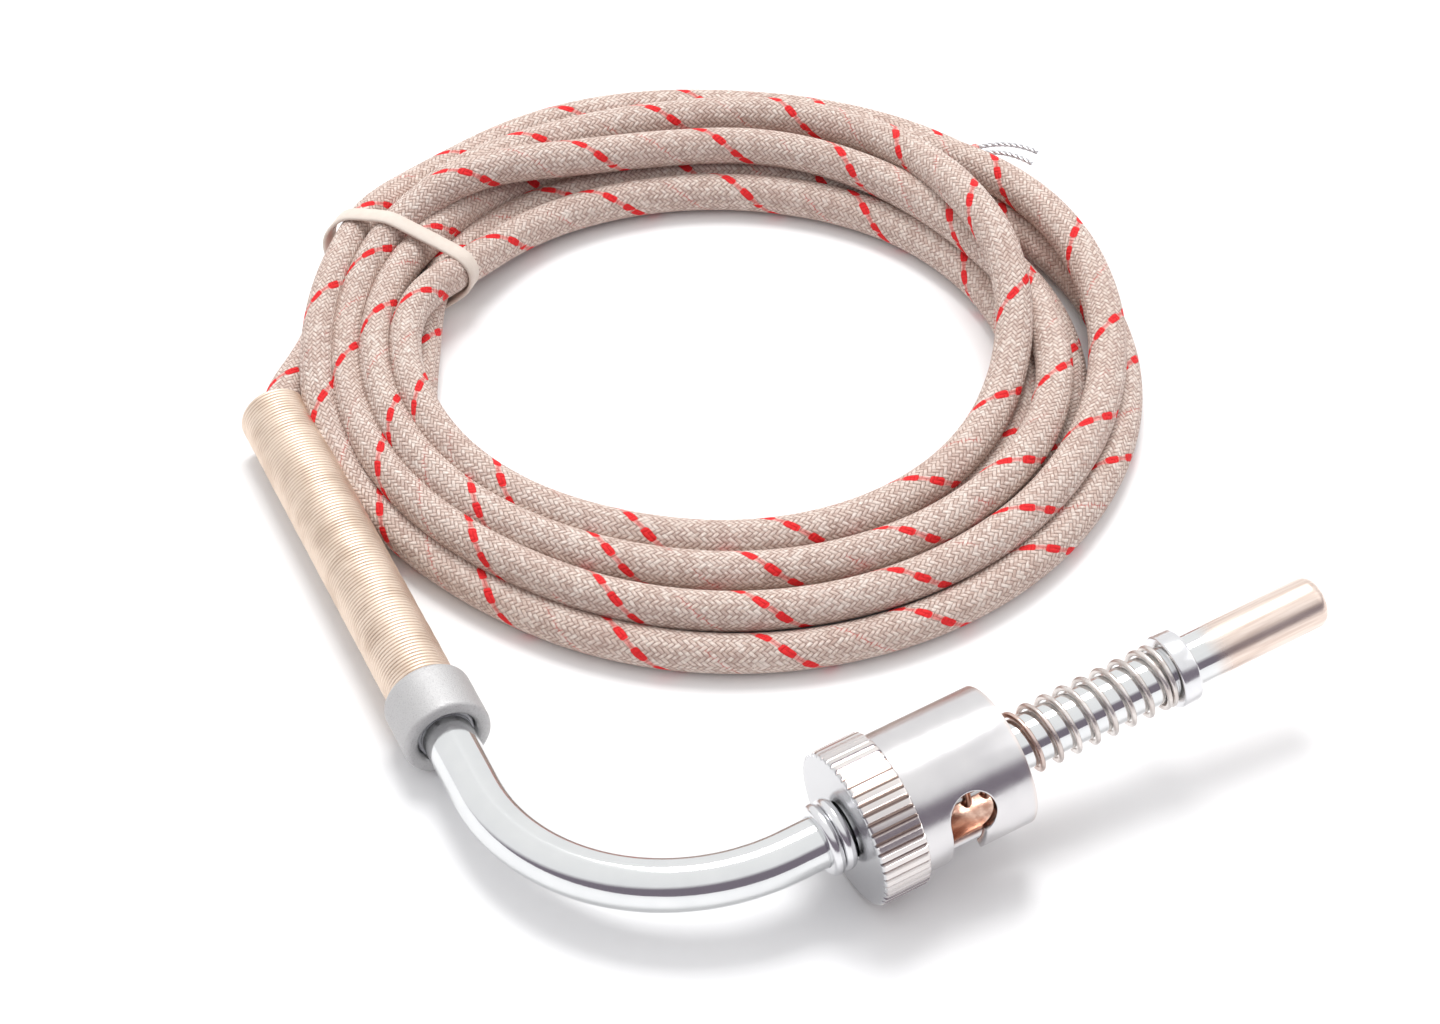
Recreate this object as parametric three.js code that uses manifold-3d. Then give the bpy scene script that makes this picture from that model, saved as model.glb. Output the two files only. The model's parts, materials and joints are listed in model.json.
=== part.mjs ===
// Bayonet thermocouple with a bent probe, a spring armour and a coiled, braided cable.
// Millimetres, +Z up. The probe lies on a bench: +X is the heading of its tip, and the origin
// is under the middle of the probe's footprint.
import * as THREE from "three";
import { mergeVertices } from "three/addons/utils/BufferGeometryUtils.js";
import Module from "manifold-3d";

const wasm = await Module();
wasm.setup();

// ---- Driving dimensions ----

// The probe's two straight legs meet at the knee. Stations along both legs are distances from the
// knee: positive on the tip leg, negative on the armour leg.
const TIP_RISE = THREE.MathUtils.degToRad(5.5);
const ARMOUR_RISE = THREE.MathUtils.degToRad(0.9);
const ARMOUR_HEADING = THREE.MathUtils.degToRad(-94.3);
const ELBOW_RADIUS = 20.5;
const TUBE_RADIUS = 2.5;
const TUBE_BORE = 2.0;
const TIP_END = 79;
const TIP_ROUNDING = 1.1;
const TIP_WALL = 0.8;
const TUBE_REAR = -40;
const ORIGIN_FROM_KNEE = [38.343, 36.017];

// Bayonet cap
const CAP_REAR = 27.7;
const CAP_MOUTH = 44;
const CAP_FLOOR = 2;
const CAP_RADIUS = 6.85;
const CAP_BORE = 6.0;
const CAP_HOLE = 2.75;
const KNURL_RADIUS = 7.6;
const KNURL_DEPTH = 0.4;
const KNURL_WIDTH = 4.8;
const KNURL_TEETH = 48;
const DETENT_RADIUS = 2.35;
const DETENT_STATION = 37.6;
const CHANNEL_REAR = 35.2;
const CHANNEL_WIDTH = 3.4;
const SLOT_FROM = 163;
const SLOT_ENTRY = 219;
const SLOT_TO = 244;

// Collars on the tube, and the compression spring between the front one and the cap's floor
const COLLAR_BORE = 2.58;
const FRONT_COLLAR = { rear: 62, front: 64, radius: 3.6 };
const REAR_COLLAR = { rear: 25.0, front: 27.4, radius: 3.5, groove: 2.95 };
const SPRING_RADIUS = 2.93;
const SPRING_WIRE = 0.275;
const SPRING_ACTIVE_TURNS = 15;
const SPRING_CLOSED_TURNS = 1.5;
const SPRING_CLOSED_PITCH = 0.66;

// Ferrule, armour and what they hold
const FERRULE = { front: -29.6, rear: -35.6, web: 2, radius: 4.35, hole: 3.0, bore: 3.6 };
const BUSH = { front: -30.3, rear: -31.7, radius: 2.88 };
const ARMOUR = { front: -32, rear: -79.6, radius: 3.5, bore: 2.74 };
const CRIMP = { front: -41, rear: -45, radius: 2.62, bore: 2.1 };
const CABLE_RADIUS = 2.0;
const CABLE_ROOT = { front: -40.4, rear: -76.2 };

// Conductors inside the tube
const CONDUCTOR = { radius: 0.35, offset: 0.95, front: 75.4 };
const SLEEVE = { radius: 0.85, bore: 0.52, front: 73.6, rear: -39.6 };
const JUNCTION = { radius: 0.9, station: 76.6 };
const CEMENT = { radius: 1.8, bore: 1.5, rear: 74.2, front: 77.8 };

// Coil of cable and its tie, about the coil's own centre
const COIL_CENTRE_FROM_KNEE = [51.4, 65.8];
const COIL = { inner: 27.4, outer: 40.4, bottom: 0.8, top: 8.2, bevel: 1.6 };
const TIE = { angle: 127.6, width: 1.7, thickness: 0.5, gap: 0.3 };
const GAP = 0.3;

// Route of the uncoiled cable, from just inside the armour's mouth to the coil, about the knee
const CABLE_ROUTE = [
  [5.75, 76.6, 3.7],
  [6.5, 79.7, 3.6],
  [8.3, 82.2, 3.3],
  [10.9, 84.5, 2.8],
  [14.5, 88.0, 2.4],
  [18.1, 92.8, 2.3],
];

// Bare ends at the cable's far end, about the coil's centre
const TAIL = {
  start: [40.6, 18.6, 3.4],
  sleeveEnd: [42.3, 15.4, 3.9],
  leadEnd: [44.6, 11.2, 4.7],
  spread: 0.95,
  sleeveRadius: 0.8,
  leadRadius: 0.4,
};

const ROUND = 28;
const ELBOW_STEP = 3.7;

// ---- Axes of the probe ----

const tipAxis = new THREE.Vector3(Math.cos(TIP_RISE), 0, Math.sin(TIP_RISE));
const armourAxis = new THREE.Vector3(
  Math.cos(ARMOUR_RISE) * Math.cos(ARMOUR_HEADING),
  Math.cos(ARMOUR_RISE) * Math.sin(ARMOUR_HEADING),
  Math.sin(ARMOUR_RISE),
);
const bend = armourAxis.angleTo(tipAxis);
const tangentLength = ELBOW_RADIUS * Math.tan(bend / 2);
const bendNormal = new THREE.Vector3().crossVectors(armourAxis, tipAxis).normalize();
const kneeHeight = KNURL_RADIUS * Math.cos(TIP_RISE) - CAP_REAR * Math.sin(TIP_RISE);
const knee = new THREE.Vector3(-ORIGIN_FROM_KNEE[0], -ORIGIN_FROM_KNEE[1], kneeHeight);

// Place and direction on the probe's centreline at a station.
function onProbe(station) {
  if (station <= -tangentLength) {
    return { at: armourAxis.clone().multiplyScalar(station), along: armourAxis };
  }
  if (station >= tangentLength) {
    return { at: tipAxis.clone().multiplyScalar(station), along: tipAxis };
  }
  const turned = ((station + tangentLength) / (2 * tangentLength)) * bend;
  const inward = new THREE.Vector3().crossVectors(bendNormal, armourAxis);
  const centre = armourAxis.clone().multiplyScalar(-tangentLength).addScaledVector(inward, ELBOW_RADIUS);
  const at = centre
    .addScaledVector(inward, -ELBOW_RADIUS * Math.cos(turned))
    .addScaledVector(armourAxis, ELBOW_RADIUS * Math.sin(turned));
  const along = armourAxis.clone().applyAxisAngle(bendNormal, turned);
  return { at, along };
}

// ---- Shape helpers ----

// Stations through the elbow between two stations, in the order they are passed.
function elbowStations(from, to) {
  const low = Math.max(Math.min(from, to), -tangentLength);
  const high = Math.min(Math.max(from, to), tangentLength);
  if (high <= low) return [];
  const count = Math.ceil((high - low) / ELBOW_STEP);
  const stations = Array.from({ length: count + 1 }, (_, k) => low + ((high - low) * k) / count);
  return to < from ? stations.reverse() : stations;
}

// The profile with its long sides divided where they pass through the elbow.
function withElbowSteps(profile) {
  const full = [];
  profile.forEach(([station, radius], i) => {
    full.push([station, radius]);
    const next = profile[i + 1];
    if (!next) return;
    elbowStations(station, next[0]).forEach((s) => {
      const share = (s - station) / (next[0] - station);
      full.push([s, radius + (next[1] - radius) * share]);
    });
  });
  return full;
}

// A solid of revolution about the probe's bent centreline, or about a line beside it. The profile
// is a list of [station, radius] that starts and ends on the axis, or closes on itself.
function sweptAlongProbe(profile, sides, offset = 0) {
  const stations = withElbowSteps(profile);
  const positions = [];
  stations.forEach(([station, radius]) => {
    const { at, along } = onProbe(station);
    const across = new THREE.Vector3().crossVectors(bendNormal, along);
    for (let k = 0; k < sides; k += 1) {
      const a = (2 * Math.PI * k) / sides;
      const p = at
        .clone()
        .addScaledVector(bendNormal, offset + radius * Math.cos(a))
        .addScaledVector(across, radius * Math.sin(a));
      positions.push(p.x, p.y, p.z);
    }
  });
  const index = [];
  for (let i = 0; i < stations.length - 1; i += 1) {
    for (let k = 0; k < sides; k += 1) {
      const a = i * sides + k;
      const b = i * sides + ((k + 1) % sides);
      index.push(a, a + sides, b, b, a + sides, b + sides);
    }
  }
  const geometry = new THREE.BufferGeometry();
  geometry.setAttribute("position", new THREE.Float32BufferAttribute(positions, 3));
  geometry.setIndex(index);
  return withoutSlivers(geometry);
}

// Merges equal vertices and drops the triangles that this leaves with no area.
function withoutSlivers(geometry) {
  const plain = new THREE.BufferGeometry();
  plain.setAttribute("position", geometry.getAttribute("position"));
  plain.setIndex(geometry.index);
  const merged = mergeVertices(plain, 1e-4);
  const old = merged.index.array;
  const kept = [];
  for (let i = 0; i < old.length; i += 3) {
    const [a, b, c] = [old[i], old[i + 1], old[i + 2]];
    if (a !== b && b !== c && a !== c) kept.push(a, b, c);
  }
  merged.setIndex(kept);
  return merged;
}

// Turns +Z of a geometry into +X, +X into +Y and +Y into +Z.
function facingX(geometry) {
  const toX = new THREE.Matrix4().makeBasis(
    new THREE.Vector3(0, 1, 0),
    new THREE.Vector3(0, 0, 1),
    new THREE.Vector3(1, 0, 0),
  );
  return geometry.applyMatrix4(toX);
}

// A lathe about +X from [x, radius] points.
function turned(profile, segments = ROUND) {
  const points = profile.map(([x, radius]) => new THREE.Vector2(radius, x));
  return withoutSlivers(new THREE.LatheGeometry(points, segments).rotateZ(-Math.PI / 2));
}

// A ring about +X with a rectangular section.
function ring(rear, front, bore, radius, segments = ROUND) {
  const profile = [[rear, bore], [rear, radius], [front, radius], [front, bore], [rear, bore]];
  return turned(profile, segments);
}

function rod(rear, front, radius, segments = ROUND) {
  return turned([[rear, 0], [rear, radius], [front, radius], [front, 0]], segments);
}

function solid(geometry) {
  const merged = withoutSlivers(geometry.index ? geometry : mergeVertices(geometry));
  const made = new wasm.Manifold(
    new wasm.Mesh({
      numProp: 3,
      vertProperties: new Float32Array(merged.getAttribute("position").array),
      triVerts: new Uint32Array(merged.index.array),
    }),
  );
  return made;
}

function fromSolid(made) {
  const mesh = made.getMesh();
  const geometry = new THREE.BufferGeometry();
  geometry.setAttribute("position", new THREE.BufferAttribute(mesh.vertProperties, 3));
  geometry.setIndex(new THREE.BufferAttribute(mesh.triVerts, 1));
  return geometry;
}

// A tube along a curve, with flat ends.
function extrudedAlong(curve, radius, sides, steps) {
  const section = new THREE.Shape();
  for (let k = 0; k < sides; k += 1) {
    const a = (2 * Math.PI * k) / sides;
    const point = [radius * Math.cos(a), radius * Math.sin(a)];
    if (k === 0) section.moveTo(...point);
    else section.lineTo(...point);
  }
  section.closePath();
  return new THREE.ExtrudeGeometry(section, { steps, extrudePath: curve, bevelEnabled: false });
}

// A closed round spring's centreline about +X.
class SpringCurve extends THREE.Curve {
  constructor(rear, front) {
    super();
    this.rear = rear;
    this.front = front;
  }

  getPoint(t) {
    const turns = SPRING_ACTIVE_TURNS + 2 * SPRING_CLOSED_TURNS;
    const closed = SPRING_CLOSED_TURNS * SPRING_CLOSED_PITCH;
    const pitch = (this.front - this.rear - 2 * closed) / SPRING_ACTIVE_TURNS;
    const turn = t * turns;
    const rearPart = Math.min(turn, SPRING_CLOSED_TURNS) * SPRING_CLOSED_PITCH;
    const activePart = Math.min(Math.max(turn - SPRING_CLOSED_TURNS, 0), SPRING_ACTIVE_TURNS) * pitch;
    const frontPart = Math.max(turn - SPRING_CLOSED_TURNS - SPRING_ACTIVE_TURNS, 0) * SPRING_CLOSED_PITCH;
    const a = turn * 2 * Math.PI;
    return new THREE.Vector3(
      this.rear + rearPart + activePart + frontPart,
      SPRING_RADIUS * Math.cos(a),
      SPRING_RADIUS * Math.sin(a),
    );
  }
}

// ---- Materials ----

function metal(color, roughness, metalness = 1) {
  return new THREE.MeshStandardMaterial({ color, roughness, metalness });
}

function cloth(color) {
  return new THREE.MeshStandardMaterial({ color, roughness: 0.9, metalness: 0 });
}

const chrome = metal(0xd9dadd, 0.12);
const nickel = metal(0xcfcac4, 0.3);
const castAlloy = metal(0xb9babc, 0.65);
const armourSteel = metal(0xcbbda6, 0.4);
const springSteel = metal(0xb3aaa6, 0.35);
const tinned = metal(0xc9c9c6, 0.3);
const alloyWire = metal(0x9d968c, 0.4);
const braid = cloth(0xcdb9ac);
const glassSleeve = cloth(0xe6ddcf);
const bandPlastic = new THREE.MeshStandardMaterial({ color: 0xe0d2c0, roughness: 0.6, metalness: 0 });
const cementGrey = new THREE.MeshStandardMaterial({ color: 0xd8d4c8, roughness: 0.95, metalness: 0 });

function named(name, geometry, material) {
  const mesh = new THREE.Mesh(geometry, material);
  mesh.name = name;
  return mesh;
}

// ---- Pieces on the probe's centreline ----

function probeSheath() {
  const innerEnd = TIP_END - TIP_WALL;
  const profile = [[innerEnd, 0], [innerEnd, TUBE_BORE], [TUBE_REAR, TUBE_BORE], [TUBE_REAR, TUBE_RADIUS]];
  profile.push([TIP_END - TIP_ROUNDING, TUBE_RADIUS]);
  for (let k = 1; k <= 3; k += 1) {
    const a = (k / 3) * (Math.PI / 2);
    profile.push([
      TIP_END - TIP_ROUNDING * (1 - Math.sin(a)),
      TUBE_RADIUS - TIP_ROUNDING * (1 - Math.cos(a)),
    ]);
  }
  profile.push([TIP_END, 0]);
  return named("probe_sheath", sweptAlongProbe(profile, 20), chrome);
}

function conductor(name, side) {
  const profile = [[TUBE_REAR, 0], [TUBE_REAR, CONDUCTOR.radius], [CONDUCTOR.front, CONDUCTOR.radius]];
  profile.push([CONDUCTOR.front, 0]);
  return named(name, sweptAlongProbe(profile, 8, side * CONDUCTOR.offset), alloyWire);
}

function conductorSleeve(name, side) {
  const { radius, bore, front, rear } = SLEEVE;
  const profile = [[front, bore], [rear, bore], [rear, radius], [front, radius], [front, bore]];
  return named(name, sweptAlongProbe(profile, 10, side * CONDUCTOR.offset), glassSleeve);
}

// ---- Pieces on the tip leg, +X along the leg, the knee at 0 ----

function measuringJunction() {
  const bead = new THREE.SphereGeometry(JUNCTION.radius, 14, 10).translate(JUNCTION.station, 0, 0);
  return named("measuring_junction", withoutSlivers(bead), alloyWire);
}

function tipCement() {
  const { rear, front, bore, radius } = CEMENT;
  return named("tip_cement", ring(rear, front, bore, radius, 20), cementGrey);
}

function frontCollar() {
  const { rear, front, radius } = FRONT_COLLAR;
  const bevel = 0.25;
  const profile = [
    [rear, COLLAR_BORE],
    [rear, radius - bevel],
    [rear + bevel, radius],
    [front - bevel, radius],
    [front, radius - bevel],
    [front, COLLAR_BORE],
    [rear, COLLAR_BORE],
  ];
  return named("front_collar", turned(profile), chrome);
}

// Two rounded beads with a groove between them.
function rearCollar() {
  const { rear, front, radius, groove } = REAR_COLLAR;
  const bead = (front - rear) / 2;
  const profile = [[rear, COLLAR_BORE]];
  for (let side = 0; side < 2; side += 1) {
    for (let k = 0; k <= 4; k += 1) {
      const a = (k / 4) * Math.PI;
      const x = rear + bead * (side + 0.5 - 0.5 * Math.cos(a));
      if (side === 0 || k > 0) profile.push([x, groove + (radius - groove) * Math.sin(a)]);
    }
  }
  profile.push([front, COLLAR_BORE], [rear, COLLAR_BORE]);
  return named("rear_collar", turned(profile), chrome);
}

function compressionSpring() {
  const rear = CAP_REAR + CAP_FLOOR + GAP + SPRING_WIRE;
  const front = FRONT_COLLAR.rear - GAP - SPRING_WIRE;
  const steps = Math.round((SPRING_ACTIVE_TURNS + 2 * SPRING_CLOSED_TURNS) * 12);
  const wire = extrudedAlong(new SpringCurve(rear, front), SPRING_WIRE, 6, steps);
  return named("compression_spring", wire, springSteel);
}

// A block bounded by two radii and two angles about +X.
function sector(inner, outer, fromDegrees, toDegrees, rear, front) {
  const from = THREE.MathUtils.degToRad(fromDegrees);
  const to = THREE.MathUtils.degToRad(toDegrees);
  const shape = new THREE.Shape();
  shape.absarc(0, 0, outer, from, to, false);
  shape.absarc(0, 0, inner, to, from, true);
  shape.closePath();
  const depth = front - rear;
  const block = new THREE.ExtrudeGeometry(shape, { depth, bevelEnabled: false, curveSegments: 10 });
  return facingX(block).translate(rear, 0, 0);
}

// The bayonet slot: a way in from the mouth, a channel round the cap, and a round detent.
function bayonetSlot() {
  const inside = CAP_BORE - 1;
  const outside = KNURL_RADIUS + 1;
  const channelFront = CHANNEL_REAR + CHANNEL_WIDTH;
  const channel = sector(inside, outside, SLOT_FROM, SLOT_TO, CHANNEL_REAR, channelFront);
  const entry = sector(inside, outside, SLOT_ENTRY, SLOT_TO, CHANNEL_REAR, CAP_MOUTH + 1);
  const detent = new THREE.CylinderGeometry(DETENT_RADIUS, DETENT_RADIUS, 4, 20);
  detent.translate(0, CAP_RADIUS, 0);
  detent.rotateX(THREE.MathUtils.degToRad(SLOT_FROM));
  detent.translate(DETENT_STATION, 0, 0);
  return solid(channel).add(solid(entry)).add(solid(withoutSlivers(detent)));
}

// Straight knurl: flat crests with V grooves between them, one crest straight down.
function knurledRing() {
  const shape = new THREE.Shape();
  const pitch = (2 * Math.PI) / KNURL_TEETH;
  for (let tooth = 0; tooth < KNURL_TEETH; tooth += 1) {
    const middle = -Math.PI / 2 + tooth * pitch;
    const outline = [
      [-0.28, KNURL_RADIUS],
      [0, KNURL_RADIUS],
      [0.28, KNURL_RADIUS],
      [0.5, KNURL_RADIUS - KNURL_DEPTH],
    ];
    outline.forEach(([share, radius], k) => {
      const a = middle + share * pitch;
      const point = [radius * Math.cos(a), radius * Math.sin(a)];
      if (tooth === 0 && k === 0) shape.moveTo(...point);
      else shape.lineTo(...point);
    });
  }
  shape.closePath();
  const blank = new THREE.ExtrudeGeometry(shape, { depth: KNURL_WIDTH, bevelEnabled: false });
  return facingX(blank).translate(CAP_REAR, 0, 0);
}

function bayonetCap() {
  const rim = 0.25;
  const body = turned([
    [CAP_REAR + 1, 0],
    [CAP_REAR + 1, CAP_RADIUS],
    [CAP_MOUTH - rim, CAP_RADIUS],
    [CAP_MOUTH, CAP_RADIUS - rim],
    [CAP_MOUTH, 0],
  ], 40);
  const cavity = rod(CAP_REAR + CAP_FLOOR, CAP_MOUTH + 1, CAP_BORE, 40);
  const hole = rod(CAP_REAR - 1, CAP_MOUTH, CAP_HOLE, 24);
  const made = solid(knurledRing())
    .add(solid(body))
    .subtract(solid(cavity))
    .subtract(solid(hole))
    .subtract(bayonetSlot());
  return named("bayonet_cap", fromSolid(made), nickel);
}

// ---- Pieces on the armour leg, +X along the leg, the knee at 0 ----

function ferrule() {
  const { front, rear, web, radius, hole, bore } = FERRULE;
  const bevel = 0.45;
  const profile = [
    [rear, bore],
    [rear, radius - bevel],
    [rear + bevel, radius],
    [front - bevel, radius],
    [front, radius - bevel],
    [front, hole],
    [front - web, hole],
    [front - web, bore],
    [rear, bore],
  ];
  return named("ferrule", turned(profile), castAlloy);
}

function ferruleBush() {
  return named("ferrule_bush", ring(BUSH.rear, BUSH.front, COLLAR_BORE, BUSH.radius), castAlloy);
}

function armourSpring() {
  return named("armour_spring", ring(ARMOUR.rear, ARMOUR.front, ARMOUR.bore, ARMOUR.radius), armourSteel);
}

function braidCrimp() {
  return named("braid_crimp", ring(CRIMP.rear, CRIMP.front, CRIMP.bore, CRIMP.radius), springSteel);
}

function cableRoot() {
  return named("cable_root", rod(CABLE_ROOT.rear, CABLE_ROOT.front, CABLE_RADIUS, 12), braid);
}

// ---- Free cable, its coil and its far end ----

function cableRun() {
  const curve = new THREE.CatmullRomCurve3(CABLE_ROUTE.map((p) => new THREE.Vector3(...p)));
  return named("cable_run", extrudedAlong(curve, CABLE_RADIUS, 10, 8), braid);
}

function cableCoil() {
  const { inner, outer, bottom, top, bevel } = COIL;
  const profile = [
    [inner + bevel, bottom],
    [outer - bevel / 2, bottom],
    [outer, bottom + bevel],
    [outer, top - 2 * bevel],
    [outer - bevel, top],
    [inner + bevel, top],
    [inner, top - bevel],
    [inner, bottom + bevel],
    [inner + bevel, bottom],
  ];
  const points = profile.map(([radius, z]) => new THREE.Vector2(radius, z));
  const geometry = new THREE.LatheGeometry(points, 64).rotateX(Math.PI / 2);
  return named("cable_coil", withoutSlivers(geometry), braid);
}

// A flat band round the coil, in a plane through the coil's axis.
function coilTie() {
  const { inner, outer, bottom, top, bevel } = COIL;
  const { width, thickness, gap } = TIE;
  const corners = (grow) => {
    const [x0, x1, y0, y1] = [inner - grow, outer + grow, bottom - grow, top + grow];
    const points = [[x0 + bevel, y0], [x1 - bevel / 2, y0], [x1, y0 + bevel], [x1, y1 - 2 * bevel]];
    points.push([x1 - bevel, y1], [x0 + bevel, y1], [x0, y1 - bevel], [x0, y0 + bevel]);
    return points.map(([x, y]) => new THREE.Vector2(x, y));
  };
  const shape = new THREE.Shape(corners(gap + thickness));
  shape.holes.push(new THREE.Path(corners(gap)));
  const band = new THREE.ExtrudeGeometry(shape, { depth: width, bevelEnabled: false });
  band.translate(0, 0, -width / 2).rotateX(Math.PI / 2);
  band.rotateZ(THREE.MathUtils.degToRad(TIE.angle));
  return named("coil_tie", band, bandPlastic);
}

// One conductor's end: an insulated stub, then bare wire.
function tailEnd(name, side) {
  const start = new THREE.Vector3(...TAIL.start);
  const middle = new THREE.Vector3(...TAIL.sleeveEnd);
  const end = new THREE.Vector3(...TAIL.leadEnd);
  const across = new THREE.Vector3().subVectors(end, start).cross(new THREE.Vector3(0, 0, 1)).normalize();
  [start, middle, end].forEach((p, k) => p.addScaledVector(across, side * TAIL.spread * (1 + 0.15 * k)));
  const wireStart = middle.clone().lerp(end, GAP / middle.distanceTo(end));
  const sleeve = extrudedAlong(new THREE.LineCurve3(start, middle), TAIL.sleeveRadius, 8, 2);
  const wire = extrudedAlong(new THREE.LineCurve3(wireStart, end), TAIL.leadRadius, 8, 3);
  return [
    named(`${name}_tail_sleeve`, sleeve, glassSleeve),
    named(`${name}_lead`, wire, tinned),
  ];
}

// ---- Assembly ----

// A group whose +X runs along a leg of the probe, with +Y level.
function legGroup(axis, pieces) {
  const side = new THREE.Vector3(0, 0, 1).cross(axis).normalize();
  const up = new THREE.Vector3().crossVectors(axis, side);
  const leg = new THREE.Group();
  leg.quaternion.setFromRotationMatrix(new THREE.Matrix4().makeBasis(axis, side, up));
  leg.add(...pieces);
  return leg;
}

const probe = new THREE.Group();
probe.position.copy(knee);
probe.add(
  probeSheath(),
  conductor("positive_wire", 1),
  conductor("negative_wire", -1),
  conductorSleeve("positive_sleeve", 1),
  conductorSleeve("negative_sleeve", -1),
  legGroup(tipAxis, [
    measuringJunction(),
    tipCement(),
    frontCollar(),
    rearCollar(),
    compressionSpring(),
    bayonetCap(),
  ]),
  legGroup(armourAxis, [ferrule(), ferruleBush(), armourSpring(), braidCrimp(), cableRoot()]),
);

const coil = new THREE.Group();
coil.position.set(
  COIL_CENTRE_FROM_KNEE[0] - ORIGIN_FROM_KNEE[0],
  COIL_CENTRE_FROM_KNEE[1] - ORIGIN_FROM_KNEE[1],
  0,
);
coil.add(cableCoil(), coilTie(), ...tailEnd("positive", 1), ...tailEnd("negative", -1));

const run = new THREE.Group();
run.position.set(-ORIGIN_FROM_KNEE[0], -ORIGIN_FROM_KNEE[1], 0);
run.add(cableRun());

const thermocouple = new THREE.Group();
thermocouple.name = "thermocouple";
thermocouple.add(probe, coil, run);

export default thermocouple;
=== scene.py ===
import json
import math

import bmesh
import bpy
import numpy as np
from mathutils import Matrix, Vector


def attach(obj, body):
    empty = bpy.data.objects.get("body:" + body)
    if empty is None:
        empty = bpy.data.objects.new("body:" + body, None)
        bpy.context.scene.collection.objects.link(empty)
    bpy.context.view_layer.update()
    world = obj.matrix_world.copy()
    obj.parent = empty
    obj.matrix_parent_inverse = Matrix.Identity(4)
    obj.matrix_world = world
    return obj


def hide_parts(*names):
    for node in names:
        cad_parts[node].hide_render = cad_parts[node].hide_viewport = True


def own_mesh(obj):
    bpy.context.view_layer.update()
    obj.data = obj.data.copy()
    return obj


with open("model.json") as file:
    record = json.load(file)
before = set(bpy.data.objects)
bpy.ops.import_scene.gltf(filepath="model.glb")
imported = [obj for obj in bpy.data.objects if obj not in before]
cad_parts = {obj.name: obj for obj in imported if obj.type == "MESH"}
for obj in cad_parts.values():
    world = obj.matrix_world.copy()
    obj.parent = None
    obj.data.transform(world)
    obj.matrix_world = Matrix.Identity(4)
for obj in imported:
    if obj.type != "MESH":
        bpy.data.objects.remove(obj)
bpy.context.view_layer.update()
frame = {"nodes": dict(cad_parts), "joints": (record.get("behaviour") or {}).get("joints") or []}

# Bayonet thermocouple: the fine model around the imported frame, in metres.

MM = 0.001

# ---- Dimensions of the CAD source, in millimetres ----

# They repeat it, with small differences: some bores and pitches are closer where the CAD leaves
# a gap, and the knurl's depth and the tie's place and section are nearer the real ones.
# Stations are distances from the knee, where the probe's two straight legs would meet:
# positive on the tip leg, negative on the armour leg.
ARMOUR_RISE = math.radians(0.9)
ARMOUR_HEADING = math.radians(-94.3)
HINGE_STATION = 35.0
ELBOW_RADIUS = 20.5
TUBE_RADIUS = 2.5
TUBE_BORE = 2.0
TUBE_REAR = -40.0
TIP_END = 79.0
TIP_ROUNDING = 1.1
TIP_WALL = 0.8

CAP_REAR = 27.7
CAP_MOUTH = 44.0
CAP_FLOOR = 2.0
CAP_RADIUS = 6.85
CAP_BORE = 6.0
CAP_HOLE = 2.75
KNURL_RADIUS = 7.6
KNURL_DEPTH = 0.42
KNURL_WIDTH = 4.8
KNURL_TEETH = 48
DETENT_RADIUS = 2.35
DETENT_STATION = 37.6
CHANNEL_REAR = 35.2
CHANNEL_WIDTH = 3.4
SLOT_FROM = 163.0
SLOT_ENTRY = 219.0
SLOT_TO = 244.0

FRONT_COLLAR = (62.0, 64.0, 3.6)
REAR_COLLAR = (25.0, 27.4, 3.5)
COLLAR_BORE = 2.52
SPRING_RADIUS = 2.93
SPRING_WIRE = 0.275
SPRING_ACTIVE_TURNS = 15
SPRING_CLOSED_TURNS = 1.5
SPRING_CLOSED_PITCH = 0.6

FERRULE_FRONT = -29.6
FERRULE_REAR = -35.6
FERRULE_RADIUS = 4.35
FERRULE_HOLE = 3.0
FERRULE_BORE = 3.55
BUSH_FRONT = -30.3
BUSH_REAR = -31.7
BUSH_RADIUS = 2.88
ARMOUR_FRONT = -32.0
ARMOUR_REAR = -79.6
ARMOUR_RADIUS = 3.5
ARMOUR_WIRE = 0.22
ARMOUR_PITCH = 0.42

CABLE_RADIUS = 2.0
COIL_CENTRE_FROM_KNEE = (51.4, 65.8)
TIE_ANGLE = math.radians(129.0)
TIE_WIDTH = 1.9
TIE_THICKNESS = 0.42
TIE_GAP = 0.2
TIE_BULGE = 0.9
TIE_FLARE = 0.35

# The uncoiled cable's route in the CAD source, about the knee, in metres.
RUN_ROUTE = [
    (0.00575, 0.0766, 0.0037),
    (0.0065, 0.0797, 0.0036),
    (0.0083, 0.0822, 0.0033),
    (0.0109, 0.0845, 0.0028),
    (0.0145, 0.0880, 0.0024),
    (0.0181, 0.0928, 0.0023),
]

# The conductors' ends in the CAD source, about the coil's centre.
TAIL_SLEEVE_END = (42.3, 15.4, 3.9)
TAIL_LEAD_END = (44.6, 11.2, 4.7)
TAIL_SPREAD = 0.95

# ---- Places worked out from the frame ----

joint = {j["name"]: j for j in frame["joints"]}
tip_axis = np.array(joint["cap_turn"]["axis"])
knee = np.array(joint["cap_turn"]["pos_m"]) / MM - HINGE_STATION * tip_axis
armour_axis = np.array([
    math.cos(ARMOUR_RISE) * math.cos(ARMOUR_HEADING),
    math.cos(ARMOUR_RISE) * math.sin(ARMOUR_HEADING),
    math.sin(ARMOUR_RISE),
])
coil_centre = np.array([knee[0] + COIL_CENTRE_FROM_KNEE[0], knee[1] + COIL_CENTRE_FROM_KNEE[1], 0.0])
bend = math.acos(float(armour_axis @ tip_axis))
tangent_length = ELBOW_RADIUS * math.tan(bend / 2)
bend_normal = np.cross(armour_axis, tip_axis)
bend_normal /= np.linalg.norm(bend_normal)


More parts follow.
